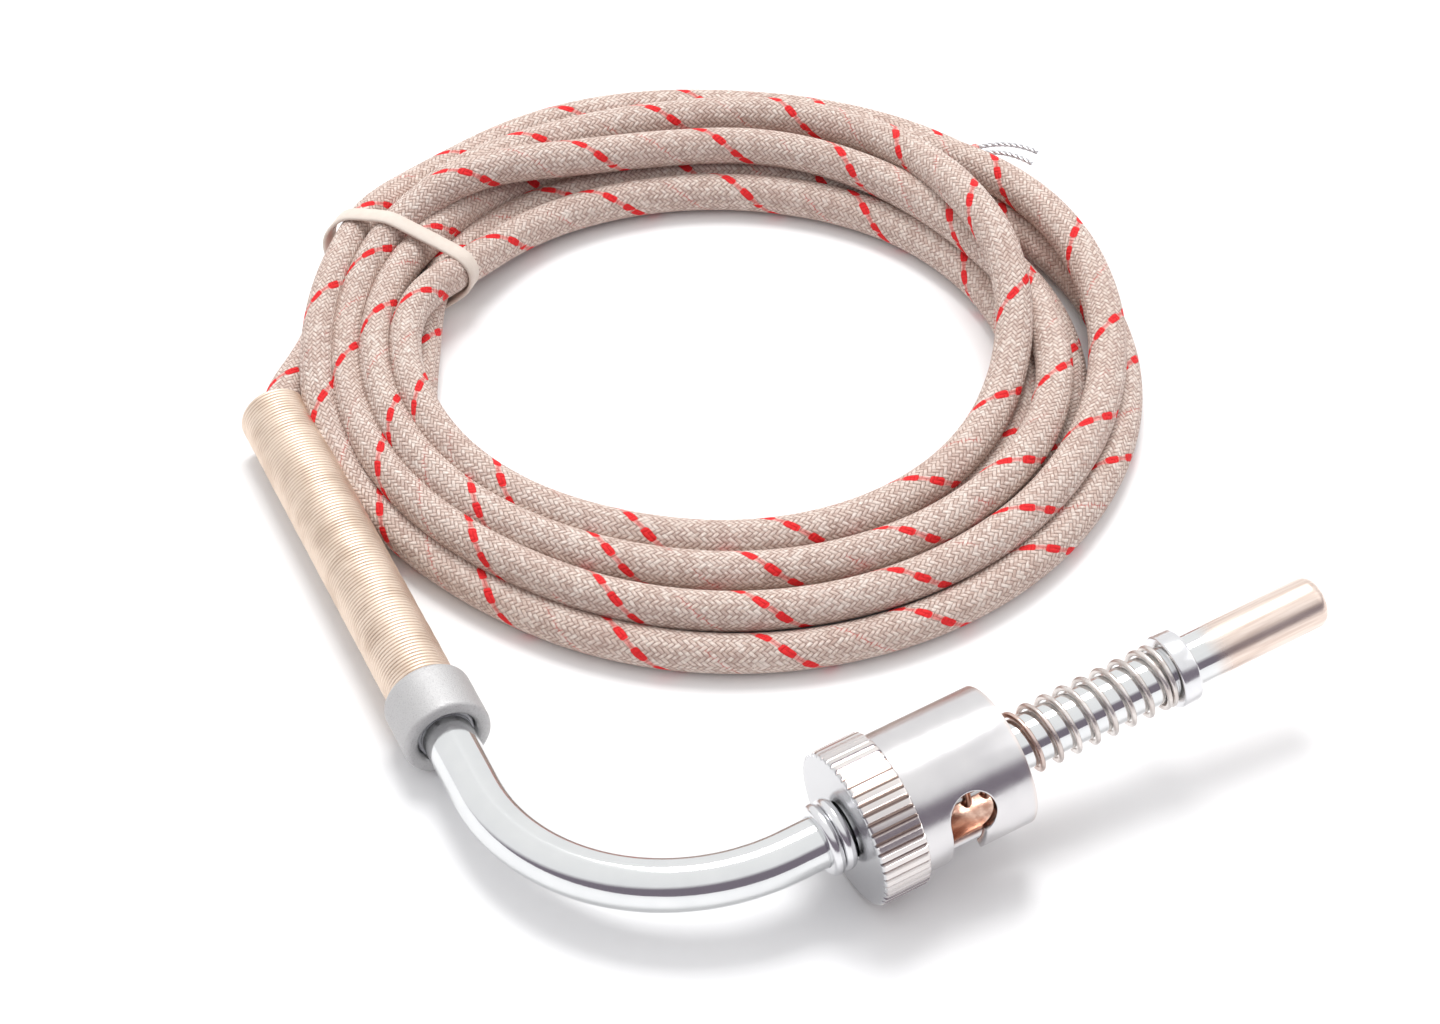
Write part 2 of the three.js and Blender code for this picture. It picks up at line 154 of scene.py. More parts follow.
def on_probe(station):
    """Place and direction on the probe's bent centreline, in millimetres."""
    if station <= -tangent_length:
        return knee + station * armour_axis, armour_axis
    if station >= tangent_length:
        return knee + station * tip_axis, tip_axis
    turned = (station + tangent_length) / (2 * tangent_length) * bend
    inward = np.cross(bend_normal, armour_axis)
    start = knee - tangent_length * armour_axis
    at = start + ELBOW_RADIUS * ((1 - math.cos(turned)) * inward + math.sin(turned) * armour_axis)
    along = math.cos(turned) * armour_axis + math.sin(turned) * inward
    return at, along


# ---- Camera ----

CAMERA_AZIMUTH = math.radians(-28.45)
CAMERA_ELEVATION = math.radians(44.0)
CAMERA_DISTANCE = 0.3695
CAMERA_TARGET = (0.0028, 0.0123, 0.0)
LENS = 91.5
SENSOR = 36.0


def make_camera():
    data = bpy.data.cameras.new("Camera")
    data.lens = LENS
    data.sensor_width = SENSOR
    data.clip_start = 0.01
    data.clip_end = 10.0
    camera = bpy.data.objects.new("Camera", data)
    bpy.context.scene.collection.objects.link(camera)
    back = Vector((
        math.sin(CAMERA_AZIMUTH) * math.cos(CAMERA_ELEVATION),
        -math.cos(CAMERA_AZIMUTH) * math.cos(CAMERA_ELEVATION),
        math.sin(CAMERA_ELEVATION),
    ))
    camera.location = Vector(CAMERA_TARGET) + back * CAMERA_DISTANCE
    camera.rotation_mode = "QUATERNION"
    camera.rotation_quaternion = (-back).to_track_quat("-Z", "Y")
    bpy.context.scene.camera = camera


make_camera()

# ---- Mesh helpers ----


def link(name, mesh):
    obj = bpy.data.objects.new(name, mesh)
    bpy.context.scene.collection.objects.link(obj)
    return obj


def mesh_from(name, points, faces, sharp=None):
    """An object from points in millimetres, smooth except at edges sharper than sharp degrees."""
    mesh = bpy.data.meshes.new(name)
    mesh.from_pydata([tuple(p) for p in np.asarray(points) * MM], [], faces)
    mesh.validate()
    mesh.polygons.foreach_set("use_smooth", [True] * len(mesh.polygons))
    if sharp is not None:
        mesh.set_sharp_from_angle(angle=math.radians(sharp))
    mesh.update()
    return link(name, mesh)


def ring_faces(rows, sides, closed=False):
    """Quads between successive rings of points."""
    faces = []
    for i in range(rows if closed else rows - 1):
        a, b = i * sides, ((i + 1) % rows) * sides
        for k in range(sides):
            n = (k + 1) % sides
            faces.append((a + k, a + n, b + n, b + k))
    return faces


def unit_rows(rows):
    return rows / np.linalg.norm(rows, axis=1)[:, None]


def frames_along(path):
    """Unit tangents and two normals carried along a path without twist."""
    tangents = unit_rows(np.gradient(path, axis=0))
    normal = np.cross(tangents[0], (0, 0, 1))
    if np.linalg.norm(normal) < 0.1:
        normal = np.cross(tangents[0], (0, 1, 0))
    normals = np.empty_like(path)
    for i, t in enumerate(tangents):
        normal = normal - (normal @ t) * t
        normal /= np.linalg.norm(normal)
        normals[i] = normal
    return tangents, normals, np.cross(tangents, normals)


def rings_along(path, radii, sides):
    """Rings of points around a path, one radius for each point of it."""
    _, u, v = frames_along(path)
    a = np.arange(sides) * 2 * math.pi / sides
    radii = np.asarray(radii, float)[:, None]
    return (
        path[:, None, :]
        + (radii * np.cos(a))[:, :, None] * u[:, None, :]
        + (radii * np.sin(a))[:, :, None] * v[:, None, :]
    )


def wire(name, path, radius, sides=12):
    """A round wire with domed ends."""
    steps = 4
    starts = path[0] - path[1]
    ends = path[-1] - path[-2]
    starts = starts / np.linalg.norm(starts)
    ends = ends / np.linalg.norm(ends)
    dome = [math.pi / 2 * k / steps for k in range(1, steps)]
    first = [path[0] + starts * radius * math.sin(a) for a in reversed(dome)]
    last = [path[-1] + ends * radius * math.sin(a) for a in dome]
    full = np.vstack([first, path, last])
    radii = [radius * math.cos(a) for a in reversed(dome)] + [radius] * len(path)
    radii += [radius * math.cos(a) for a in dome]
    rings = rings_along(full, radii, sides)
    points = rings.reshape(-1, 3)
    faces = ring_faces(len(full), sides)
    faces.append(tuple(reversed(range(sides))))
    faces.append(tuple(range((len(full) - 1) * sides, len(full) * sides)))
    return mesh_from(name, points, faces, sharp=60)


def leg_axes(axis):
    """Two directions across a leg, the first one level."""
    side = np.cross((0, 0, 1), axis)
    side /= np.linalg.norm(side)
    return side, np.cross(axis, side)


def turned(name, profile, axis, sides=96, ring_radii=None, sharp=35):
    """A solid of revolution on a leg, from a closed profile of (station, radius).

    ring_radii(station, radius, angles) gives a ring's radii where it isn't a plain circle.
    """
    side, up = leg_axes(axis)
    a = np.arange(sides) * 2 * math.pi / sides
    points = []
    for station, radius in profile:
        r = ring_radii(station, radius, a) if ring_radii else np.full(sides, radius)
        centre = knee + station * axis
        points.append(centre + np.outer(r * np.cos(a), side) + np.outer(r * np.sin(a), up))
    faces = ring_faces(len(profile), sides, closed=True)
    return mesh_from(name, np.concatenate(points), faces, sharp=sharp)


def arc(station, radius, size, start, stop, steps=4):
    """Points of a rounded corner of a profile, angles in degrees from the leg's axis."""
    angles = [math.radians(start + (stop - start) * k / steps) for k in range(steps + 1)]
    return [(station + size * math.cos(a), radius + size * math.sin(a)) for a in angles]


def joined(pieces):
    """The first piece, with the others' meshes added to its own."""
    with bpy.context.temp_override(active_object=pieces[0], selected_editable_objects=pieces):
        bpy.ops.object.join()
    return pieces[0]


def finish_piece(obj, body, slot, material, *nodes):
    """Gives a piece its material and body, and hides the CAD nodes that it stands for. The slot is not used.
    """
    obj.data.materials.clear()
    obj.data.materials.append(material)
    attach(obj, body)
    if nodes:
        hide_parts(*nodes)
    return obj


# ---- Material graphs ----


class Graph:
    """Builds one material's node tree."""

    def __init__(self, name, metallic=0.0, specular=0.5):
        self.material = bpy.data.materials.new(name)
        self.material.use_nodes = True
        self.nodes = self.material.node_tree.nodes
        self.links = self.material.node_tree.links
        self.shader = self.nodes["Principled BSDF"]
        self.shader.inputs["Metallic"].default_value = metallic
        self.shader.inputs["Specular IOR Level"].default_value = specular

    def node(self, kind, inputs=None, output=0, **settings):
        made = self.nodes.new("ShaderNode" + kind)
        for key, value in settings.items():
            setattr(made, key, value)
        for key, value in (inputs or {}).items():
            self.feed(made.inputs[key], value)
        return made.outputs[output]

    def feed(self, socket, value):
        if isinstance(value, bpy.types.NodeSocket):
            self.links.new(value, socket)
        else:
            socket.default_value = value

    def math(self, operation, *values):
        return self.node("Math", dict(enumerate(values)), operation=operation)

    def times(self, a, b):
        return self.math("MULTIPLY", a, b)

    def plus(self, a, b):
        return self.math("ADD", a, b)

    def minus(self, a, b):
        return self.math("SUBTRACT", a, b)

    def step(self, value, low, high):
        """0 below low, 1 above high, smooth between."""
        inputs = {"Value": value, "From Min": low, "From Max": high}
        return self.node("MapRange", inputs, interpolation_type="SMOOTHSTEP")

    def span(self, value, low, high):
        """A 0 to 1 value spread from low to high."""
        return self.node("MapRange", {"Value": value, "To Min": low, "To Max": high})

    def mix(self, factor, a, b, blend="MIX"):
        made = self.nodes.new("ShaderNodeMix")
        made.data_type = "RGBA"
        made.blend_type = blend
        self.feed(made.inputs[0], factor)
        self.feed(made.inputs[6], a)
        self.feed(made.inputs[7], b)
        return made.outputs[2]

    def place(self):
        """Places on the object, in millimetres."""
        at = self.node("TexCoord", output="Object")
        return self.node("VectorMath", {0: at, "Scale": 1 / MM}, operation="SCALE")

    def noise(self, scale, detail=3.0, at=None):
        inputs = {"Vector": at or self.place(), "Scale": scale, "Detail": detail}
        return self.node("TexNoise", inputs)

    def uv(self, layer):
        split = self.nodes.new("ShaderNodeSeparateXYZ")
        self.links.new(self.node("UVMap", uv_map=layer), split.inputs[0])
        return split.outputs[0], split.outputs[1]

    def finish(self, colour, roughness, height=None, depth=0.0, strength=1.0):
        self.feed(self.shader.inputs["Base Color"], colour)
        self.feed(self.shader.inputs["Roughness"], roughness)
        if height is not None:
            inputs = {"Height": height, "Distance": depth * MM, "Strength": strength}
            self.feed(self.shader.inputs["Normal"], self.node("Bump", inputs))
        return self.material


def rgb(red, green, blue):
    """A colour from 0 to 255 display values."""
    def linear(value):
        value /= 255
        return value / 12.92 if value <= 0.04045 else ((value + 0.055) / 1.055) ** 2.4
    return (linear(red), linear(green), linear(blue), 1.0)


# ---- Cable: its route ----

# The laid cable from the tie on: angle round the coil in degrees, radius and height in millimetres.
COIL_PLAN = [
    (127, 40.6, 2.4), (118, 39.6, 4.2), (108, 38.6, 5.5), (95, 37.6, 5.8), (75, 37.2, 5.9),
    (50, 37.8, 5.9), (37, 36.8, 6.2), (22, 33.9, 7.3), (8, 31.7, 8.7), (-7, 31.0, 8.9),
    (-20, 30.4, 7.5), (-38, 29.5, 5.9), (-80, 29.4, 5.5), (-133, 30.3, 5.5), (-170, 32.8, 5.6),
    (-200, 33.8, 5.6), (-214, 33.4, 5.2), (-233, 30.9, 2.8), (-255, 30.2, 2.0), (-276, 29.1, 2.0),
    (-305, 28.5, 2.0), (-349, 29.9, 2.0), (-398, 31.6, 2.0), (-493, 31.8, 2.0), (-545, 33.0, 2.0),
    (-574, 31.7, 2.0), (-593, 33.7, 2.0), (-615, 33.6, 2.0), (-653, 32.3, 2.0), (-700, 33.2, 2.0),
    (-758, 36.0, 2.0), (-853, 36.2, 2.0), (-905, 36.6, 2.0), (-934, 36.8, 2.0), (-953, 38.0, 2.0),
    (-975, 39.4, 2.0), (-1013, 39.6, 2.0), (-1040, 39.7, 2.6), (-1058, 40.3, 4.2), (-1075, 40.2, 5.2),
    (-1100, 39.8, 5.5), (-1118, 39.5, 5.6), (-1213, 38.8, 5.6), (-1234, 38.7, 5.7), (-1260, 39.3, 5.9),
    (-1294, 39.7, 6.2), (-1313, 38.9, 6.8), (-1332, 35.8, 7.4), (-1346, 33.2, 6.2), (-1365, 31.9, 5.2),
    (-1385, 31.8, 5.1), (-1415, 31.2, 5.2), (-1437, 31.2, 5.2), (-1455, 32.6, 5.4), (-1478, 34.3, 5.6),
    (-1573, 34.2, 5.6), (-1620, 36.3, 5.9), (-1654, 36.6, 6.2), (-1673, 36.3, 5.2), (-1692, 36.6, 3.4),
    (-1708, 36.2, 2.0), (-1745, 36.0, 2.0), (-1778, 37.2, 2.0), (-1800, 39.4, 2.0), (-1830, 41.3, 2.0),
    (-1860, 41.9, 2.0), (-1933, 41.7, 2.0), (-1952, 41.0, 2.0), (-1964, 41.0, 2.4), (-1980, 41.9, 3.6),
    (-1994, 42.2, 5.0), (-2014, 41.7, 5.7), (-2031, 42.0, 5.0), (-2043, 42.4, 4.0), (-2054, 42.7, 3.6),
    (-2064, 43.0, 3.8), (-2074, 43.1, 3.8), (-2086, 43.3, 3.2), (-2098, 43.4, 2.3), (-2114, 42.9, 2.0),
    (-2132, 42.3, 2.0), (-2136, 42.0, 2.0),
]
PLAN_POINTS = 6000
ROUTE_STEP = 2.0
RING_STEP = 0.5
CABLE_SIDES = 28

# How the turns settle: a point is held less and less over the first HELD_POINTS, and points
# fewer than NEAR_POINTS apart along the cable don't push each other.
SETTLE_ROUNDS = 200
SINK_STEP = 0.012
PUSH_GAIN = 1.2
SIDEWAYS_KEEP = 0.97
HELD_POINTS = 14
NEAR_POINTS = 12

# How the tie changes the turns: widths in radians round the coil, and lengths in millimetres.
# SPACING is how near the turns may lie in level, in diameters, away from the tie and at it.
TIE_LIFT = 0.5
TIE_LIFT_WIDTH = 0.2
SQUEEZE_ANGLE = math.radians(148)
SQUEEZE_WIDTH = 0.75
SQUEEZE_EDGE = 46
SQUEEZE_FADE = 4
SPACING = (0.90, 0.79)
NARROWING = 0.15
HEIGHTENING = 0.03


def hermite(xs, ys, x):
    """A smooth curve through the points (xs, ys), at x."""
    slopes = np.gradient(ys, xs)
    i = np.clip(np.searchsorted(xs, x) - 1, 0, len(xs) - 2)
    h = xs[i + 1] - xs[i]
    t = (x - xs[i]) / h
    return (
        (1 + 2 * t) * (1 - t) ** 2 * ys[i]
        + t * (1 - t) ** 2 * h * slopes[i]
        + t * t * (3 - 2 * t) * ys[i + 1]
        + t * t * (t - 1) * h * slopes[i + 1]
    )


def softened(rows, rounds):
    for _ in range(rounds):
        inner = 0.25 * rows[:-2] + 0.5 * rows[1:-1] + 0.25 * rows[2:]
        rows = np.vstack([rows[:1], inner, rows[-1:]])
    return rows


def evenly(path, step):
    """The path with its points the same distance apart, about step."""
    s = np.r_[0, np.cumsum(np.linalg.norm(np.diff(path, axis=0), axis=1))]
    at = np.linspace(0, s[-1], int(round(s[-1] / step)) + 1)
    return np.stack([np.interp(at, s, path[:, k]) for k in range(3)], axis=1)


def refined(path, step):
    """A smooth curve through the path's points, with its points about step apart."""
    s = np.r_[0, np.cumsum(np.linalg.norm(np.diff(path, axis=0), axis=1))]
    at = np.linspace(0, s[-1], int(round(s[-1] / step)) + 1)
    return np.stack([hermite(s, path[:, k], at) for k in range(3)], axis=1)


def planned_route():
    """The uncoiled route, then the coil's turns as they are planned."""
    angles, radii, heights = np.array(COIL_PLAN, float).T
    at = np.linspace(-angles[0], -angles[-1], PLAN_POINTS)
    around = np.radians(-at)
    radius = hermite(-angles, radii, at)
    turns = np.stack([
        coil_centre[0] + radius * np.cos(around),
        coil_centre[1] + radius * np.sin(around),
        hermite(-angles, heights, at),
    ], axis=1)
    run = np.array(RUN_ROUTE) / MM + [knee[0], knee[1], 0]
    return evenly(softened(evenly(np.vstack([run, turns]), 1.0), 12), ROUTE_STEP)


def polar(path):
    x, y = path[:, 0] - coil_centre[0], path[:, 1] - coil_centre[1]
    return np.hypot(x, y), np.arctan2(y, x)


def angle_from(around, angle):
    """How far places round the coil lie from an angle, between minus and plus half a turn."""
    return np.angle(np.exp(1j * (around - angle)))


def near_tie(path):
    """1 where the tie draws the coil's turns together, 0 away from it and on the uncoiled route."""
    radius, around = polar(path)
    away = angle_from(around, SQUEEZE_ANGLE)
    inside = np.clip((SQUEEZE_EDGE - radius) / SQUEEZE_FADE, 0, 1)
    return np.exp(-(away / SQUEEZE_WIDTH) ** 2) * inside


def resting_height(path):
    """How low the centreline may lie: on the bench, or on the band under the tie."""
    _, around = polar(path)
    away = angle_from(around, TIE_ANGLE)
    return CABLE_RADIUS + TIE_LIFT * np.exp(-(away / TIE_LIFT_WIDTH) ** 2)


def settled_route():
    """Lets the planned turns push each other apart and sink on to what is under them."""
    plan = planned_route()
    count = len(plan)
    first, second = np.triu_indices(count, NEAR_POINTS)
    held = np.zeros(count)
    held[:HELD_POINTS] = 1 - np.linspace(0, 1, HELD_POINTS) ** 2
    apart = 2 * CABLE_RADIUS
    path = plan.copy()
    level = np.interp(near_tie(plan), [0, 1], SPACING)
    stretch = np.stack([1 / level, 1 / level, np.ones(count)], axis=1)
    for i in range(SETTLE_ROUNDS):
        across = (path[second] - path[first]) * stretch[first]
        distance = np.linalg.norm(across, axis=1)
        touching = distance < apart
        a, b = first[touching], second[touching]
        reach = distance[touching][:, None]
        push = 0.5 * (apart - reach) * across[touching] / np.maximum(reach, 1e-6)
        moved = np.zeros_like(path)
        hits = np.zeros(count)
        for ends, way in ((a, -push), (b, push)):
            np.add.at(moved, ends, way)
            np.add.at(hits, ends, 1)
        path = path + PUSH_GAIN * moved / stretch / np.maximum(hits, 1)[:, None]
        path[:, 2] -= SINK_STEP * (1 - i / SETTLE_ROUNDS)
        path[:, 2] = np.maximum(path[:, 2], resting_height(path))
        shift = softened(path - plan, 2) * (1 - held)[:, None]
        shift[:, :2] *= SIDEWAYS_KEEP
        path = plan + shift
        path[:, 2] = np.maximum(path[:, 2], resting_height(path))
    return path


cable_route = settled_route()
cable_path = refined(softened(cable_route, 1), RING_STEP)

# ---- Cable: its braid ----

BRAID_YARNS = 24
BRAID_PITCH = 14.8
TRACER_CROSSINGS = 14
TRACER_START = 3.5
BAKE_ROWS = 11
BRAID_LAYER = "Braid"
BAKE_LAYER = "OFBake"


def braid_uvs(mesh, rings, sides, pitch, rows):
    """Braid: turns of the helix along, and share of the way round. OFBake: rows of equal length."""
    braid = mesh.uv_layers.new(name=BRAID_LAYER)
    bake = mesh.uv_layers.new(name=BAKE_LAYER)
    per_row = math.ceil((rings - 1) / rows)
    for polygon in mesh.polygons:
        if len(polygon.vertices) != 4:
            continue
        corners = [divmod(v, sides) for v in polygon.vertices]
        ring = min(c[0] for c in corners)
        wraps = {c[1] for c in corners} == {0, sides - 1}
        row = ring // per_row
        for loop, (i, k) in zip(polygon.loop_indices, corners):
            share = 1.0 if wraps and k == 0 else k / sides
            along = (i - row * per_row) / per_row
            braid.data[loop].uv = (i * RING_STEP / pitch, share)
            bake.data[loop].uv = (along * 0.99 + 0.005, (row + 0.03 + 0.94 * share) / rows)


def braid_places(g):
    """Places along and around the braid, wandering a little so that the weave isn't perfect."""
    along, around = g.uv(BRAID_LAYER)
    wander = g.times(g.minus(g.noise(0.9, 2.0), 0.5), 0.016)
    drift = g.times(g.minus(g.noise(0.7, 2.0), 0.5), 0.014)
    return g.plus(along, wander), g.plus(around, drift)


def braid_weave(g, yarns):
    """Height, yarn number and crossing number of a two-over, two-under tubular braid of flat yarns."""
    along, around = braid_places(g)
    a = g.times(g.minus(around, along), yarns)
    b = g.times(g.plus(around, along), yarns)
    yarn_a, yarn_b = g.math("FLOOR", a), g.math("FLOOR", b)
    float_a = g.math("FLOORED_MODULO", g.plus(yarn_a, b), 4.0)
    float_b = g.math("FLOORED_MODULO", g.plus(g.plus(a, yarn_b), 2.0), 4.0)
    a_on_top = g.math("LESS_THAN", float_a, 2.0)

    def crown(phase, along_float):
        across = g.math("FRACT", phase)
        over = g.math("MAXIMUM", g.math("SINE", g.times(across, math.pi)), 0.0)
        rise = g.math("MAXIMUM", g.math("SINE", g.times(along_float, math.pi / 2)), 0.0)
        threads = g.math("COSINE", g.times(across, 6 * math.pi))
        body = g.times(g.math("POWER", over, 0.6), g.math("MULTIPLY_ADD", rise, 0.5, 0.5))
        return g.math("MULTIPLY_ADD", threads, -0.06, body)

    height = g.node("Mix", {0: a_on_top, 2: crown(b, float_b), 3: crown(a, float_a)})
    yarn = g.node("Mix", {0: a_on_top, 2: g.plus(yarn_b, 0.37), 3: yarn_a})
    cell = g.math("MULTIPLY_ADD", yarn_a, 7.13, g.times(yarn_b, 3.71))
    return height, yarn, cell


def tracer_marks(g, height):
    """How red the tracers make a place: a bold one that shows as dashes, and a faint one opposite."""
    along, around = braid_places(g)
    half = TRACER_CROSSINGS / 2
    ragged = g.times(g.minus(g.noise(3.2, 3.0), 0.5), 0.9)
    side = g.times(g.minus(around, along), TRACER_CROSSINGS)
    wrapped = g.math("FLOORED_MODULO", g.minus(side, TRACER_START - half), TRACER_CROSSINGS)
    off = g.math("ABSOLUTE", g.minus(wrapped, half))
    crossing = g.times(g.plus(around, along), TRACER_CROSSINGS)
    dash = g.math("ABSOLUTE", g.minus(g.math("FLOORED_MODULO", crossing, 4.0), 2.0))
    wide = g.math("POWER", g.math("DIVIDE", off, 0.62), 4.0)
    long = g.math("POWER", g.math("DIVIDE", dash, 1.25), 4.0)
    edge = g.plus(g.plus(wide, long), ragged)
    bold = g.minus(1.0, g.step(edge, 0.6, 1.3))
    between = g.minus(1.0, g.step(g.math("MULTIPLY_ADD", ragged, 0.3, off), 0.24, 0.5))
    opposite = g.minus(1.0, g.step(g.math("ABSOLUTE", g.minus(off, half)), 0.22, 0.6))
    hidden = g.minus(1.0, g.step(height, 0.3, 0.7))
    patches = g.step(g.noise(0.2, 2.0), 0.45, 0.6)
    faint = g.times(g.times(opposite, hidden), g.times(patches, 0.4))
    dashed = g.math("MAXIMUM", bold, g.times(between, 0.48))
    return g.math("MAXIMUM", dashed, faint)


def braid_material():
    """Pale glass yarns with painted shade in their gaps and painted highlight specks on their crowns, red
    tracers, and soiled a little in places.
    """
    g = Graph("Glass braid", specular=0.3)
    height, yarn, cell = braid_weave(g, BRAID_YARNS)
    tint = g.node("TexWhiteNoise", {"W": yarn}, noise_dimensions="1D")
    stitch = g.node("TexWhiteNoise", {"W": cell}, noise_dimensions="1D")
    fleck = g.noise(3.4, 4.0)
    # Painted shade: the gaps between the yarns are darker than their crowns.
    shade = g.mix(g.step(height, 0.05, 0.6), rgb(138, 108, 98), rgb(214, 192, 180))
    # Painted highlight: pale specks on the yarns' crowns.
    painted_highlight = g.times(g.step(height, 0.5, 0.95), g.step(fleck, 0.34, 0.66))
    shade = g.mix(painted_highlight, shade, rgb(242, 230, 222))
    darker = g.times(g.step(stitch, 0.55, 1.0), 0.5)
    shade = g.mix(darker, shade, rgb(166, 137, 126))
    paler = g.times(g.step(g.minus(1.0, stitch), 0.6, 1.0), 0.6)
    shade = g.mix(paler, shade, rgb(240, 229, 220))
    shade = g.mix(g.span(tint, 0.0, 0.25), shade, rgb(188, 158, 146))
    soil = g.step(g.noise(0.16, 2.0), 0.5, 0.75)
    colour = g.mix(g.times(soil, 0.22), shade, rgb(184, 154, 143))
    red = g.mix(g.span(fleck, 0.0, 0.6), rgb(238, 46, 48), rgb(214, 26, 36))
    colour = g.mix(tracer_marks(g, height), colour, red)
    relief = g.math("MULTIPLY_ADD", fleck, 0.2, height)
    return g.finish(colour, g.span(fleck, 0.62, 0.88), relief, 0.12, 0.9)


def make_cable(material):
    """The braided cable, narrowed where the tie squeezes it, with a shallow cone at each end."""
    s = np.arange(len(cable_path)) * RING_STEP
    a = np.arange(CABLE_SIDES) * 2 * math.pi / CABLE_SIDES
    tangents = np.gradient(cable_path, axis=0)
    level = unit_rows(np.cross(tangents, (0, 0, 1)))
    upright = unit_rows(np.cross(tangents, level))
    uneven = 0.012 * np.sin(s / 7.3)[:, None] + 0.012 * np.sin(2 * a[None, :] + s[:, None] / 23.0)
    radius = CABLE_RADIUS * (1 + uneven)
    drawn = near_tie(cable_path)[:, None]
    wide = (radius * (1 - NARROWING * drawn) * np.cos(a))[:, :, None]
    tall = (radius * (1 + HEIGHTENING * drawn) * np.sin(a))[:, :, None]
    rings = cable_path[:, None, :] + wide * level[:, None, :] + tall * upright[:, None, :]
    count = len(cable_path)
    points = list(rings.reshape(-1, 3))
    faces = ring_faces(count, CABLE_SIDES)
    for ring, inward, order in ((0, 0.3, -1), (count - 1, -0.3, 1)):
        step = cable_path[1] - cable_path[0] if ring == 0 else cable_path[-1] - cable_path[-2]
        middle = len(points)
        points.append(cable_path[ring] + step / np.linalg.norm(step) * inward)
        for k in range(CABLE_SIDES):
            edge = (ring * CABLE_SIDES + k, ring * CABLE_SIDES + (k + 1) % CABLE_SIDES)
            faces.append((*edge[::order], middle))
    cable = mesh_from("braided_cable", points, faces)
    braid_uvs(cable.data, count, CABLE_SIDES, BRAID_PITCH, BAKE_ROWS)
    finish_piece(cable, "probe", "glass_braid", material, "cable_run", "cable_coil")
    return cable


# ---- Tie ----


def hull(points):
    """The convex hull of points in a plane, anticlockwise."""
    ordered = sorted(map(tuple, points))
    sides = []
    for run in (ordered, ordered[::-1]):
        side = []
        for p in run:
            while len(side) > 1:
                (ax, ay), (bx, by) = side[-2], side[-1]
                if (bx - ax) * (p[1] - ay) - (by - ay) * (p[0] - ax) > 0:
                    break
                side.pop()
            side.append(p)
        sides += side[:-1]
    return np.array(sides)


def around_loop(loop, count):
    """A closed loop in a plane with its points the same distance apart."""
    closed = np.vstack([loop, loop[:1]])
    s = np.r_[0, np.cumsum(np.linalg.norm(np.diff(closed, axis=0), axis=1))]
    at = np.linspace(0, s[-1], count, endpoint=False)
    return np.stack([np.interp(at, s, closed[:, k]) for k in range(2)], axis=1)


def make_tie(material):
    """A flat band round the bundle, slanted underneath and bulging on the coil's outer side."""
    radius, around = polar(cable_path)
    away = angle_from(around, TIE_ANGLE)
    crossing = np.where((away[:-1] > 0) & (away[1:] <= 0) & (np.abs(away[:-1]) < 1))[0]
    wrap = CABLE_RADIUS + TIE_GAP + TIE_THICKNESS / 2
    turn = np.linspace(0, 2 * math.pi, 40, endpoint=False)
    rims = [
        (radius[i] + 0.88 * wrap * math.cos(t), cable_path[i, 2] + wrap * math.sin(t))
        for i in crossing for t in turn
    ]
    loop = around_loop(hull(rims), 160)
    inner, outer = loop[:, 0].min(), loop[:, 0].max()
    share = np.clip((loop[:, 0] - inner) / (outer - inner), 0, 1)
    low = np.clip((7.5 - loop[:, 1]) / 6.0, 0, 1)
    bulge = np.clip((share - 0.72) / 0.28, 0, 1) * np.sin(math.pi * np.clip(loop[:, 1] / 8.5, 0, 1))
    loop[:, 0] += TIE_BULGE * bulge
    slant = low * (0.8 + 2.8 * share)
    for _ in range(16):
        loop = 0.25 * np.roll(loop, 1, axis=0) + 0.5 * loop + 0.25 * np.roll(loop, -1, axis=0)
        slant = 0.25 * np.roll(slant, 1) + 0.5 * slant + 0.25 * np.roll(slant, -1)
    outward = np.array([math.cos(TIE_ANGLE), math.sin(TIE_ANGLE), 0])
    sideways = np.array([-math.sin(TIE_ANGLE), math.cos(TIE_ANGLE), 0])
    middle = coil_centre + loop[:, :1] * outward + loop[:, 1:] * [0, 0, 1] + slant[:, None] * sideways
    tangent = unit_rows(np.roll(middle, -1, axis=0) - np.roll(middle, 1, axis=0))
    face = unit_rows(np.cross(tangent, sideways))
    width = np.cross(face, tangent)
    thin = TIE_THICKNESS / 2
    half = TIE_WIDTH / 2 * (1 + TIE_FLARE * bulge[:, None])
    section = [
        (-half, -0.4 * thin), (-0.85 * half, -thin), (0.85 * half, -thin), (half, -0.4 * thin),
        (half, 0.4 * thin), (0.85 * half, thin), (0, 1.15 * thin), (-0.85 * half, thin), (-half, 0.4 * thin),
    ]
    rings = np.array([middle + w * width + t * face for w, t in section]).transpose(1, 0, 2)
    points = rings.reshape(-1, 3)
    points[:, 2] = np.maximum(points[:, 2], 0.02)
    faces = ring_faces(len(middle), len(section), closed=True)
    tie = mesh_from("coil_tie_band", points, faces, sharp=60)
    return finish_piece(tie, "probe", "tie_band", material, "coil_tie")


def band_material():
    g = Graph("Tie band", specular=0.4)
    grain = g.noise(1.3, 4.0)
    fine = g.noise(6.0, 3.0)
    colour = g.mix(g.span(grain, 0.0, 0.9), rgb(230, 219, 208), rgb(214, 199, 187))
    return g.finish(colour, g.span(fine, 0.4, 0.6), g.plus(grain, fine), 0.05, 0.4)


cable = make_cable(braid_material())
make_tie(band_material())

# ---- Metals ----


def station_of(g, axis):
    """Distance along a leg from the knee, and distance from that leg's centreline, in millimetres."""
    offset = g.node("VectorMath", {0: g.place(), 1: tuple(knee)}, operation="SUBTRACT")
    along = g.node("VectorMath", {0: offset, 1: tuple(axis)}, output=1, operation="DOT_PRODUCT")
    across = g.node("VectorMath", {0: offset, 1: tuple(axis)}, operation="CROSS_PRODUCT")
    return along, g.node("VectorMath", {0: across}, output=1, operation="LENGTH")


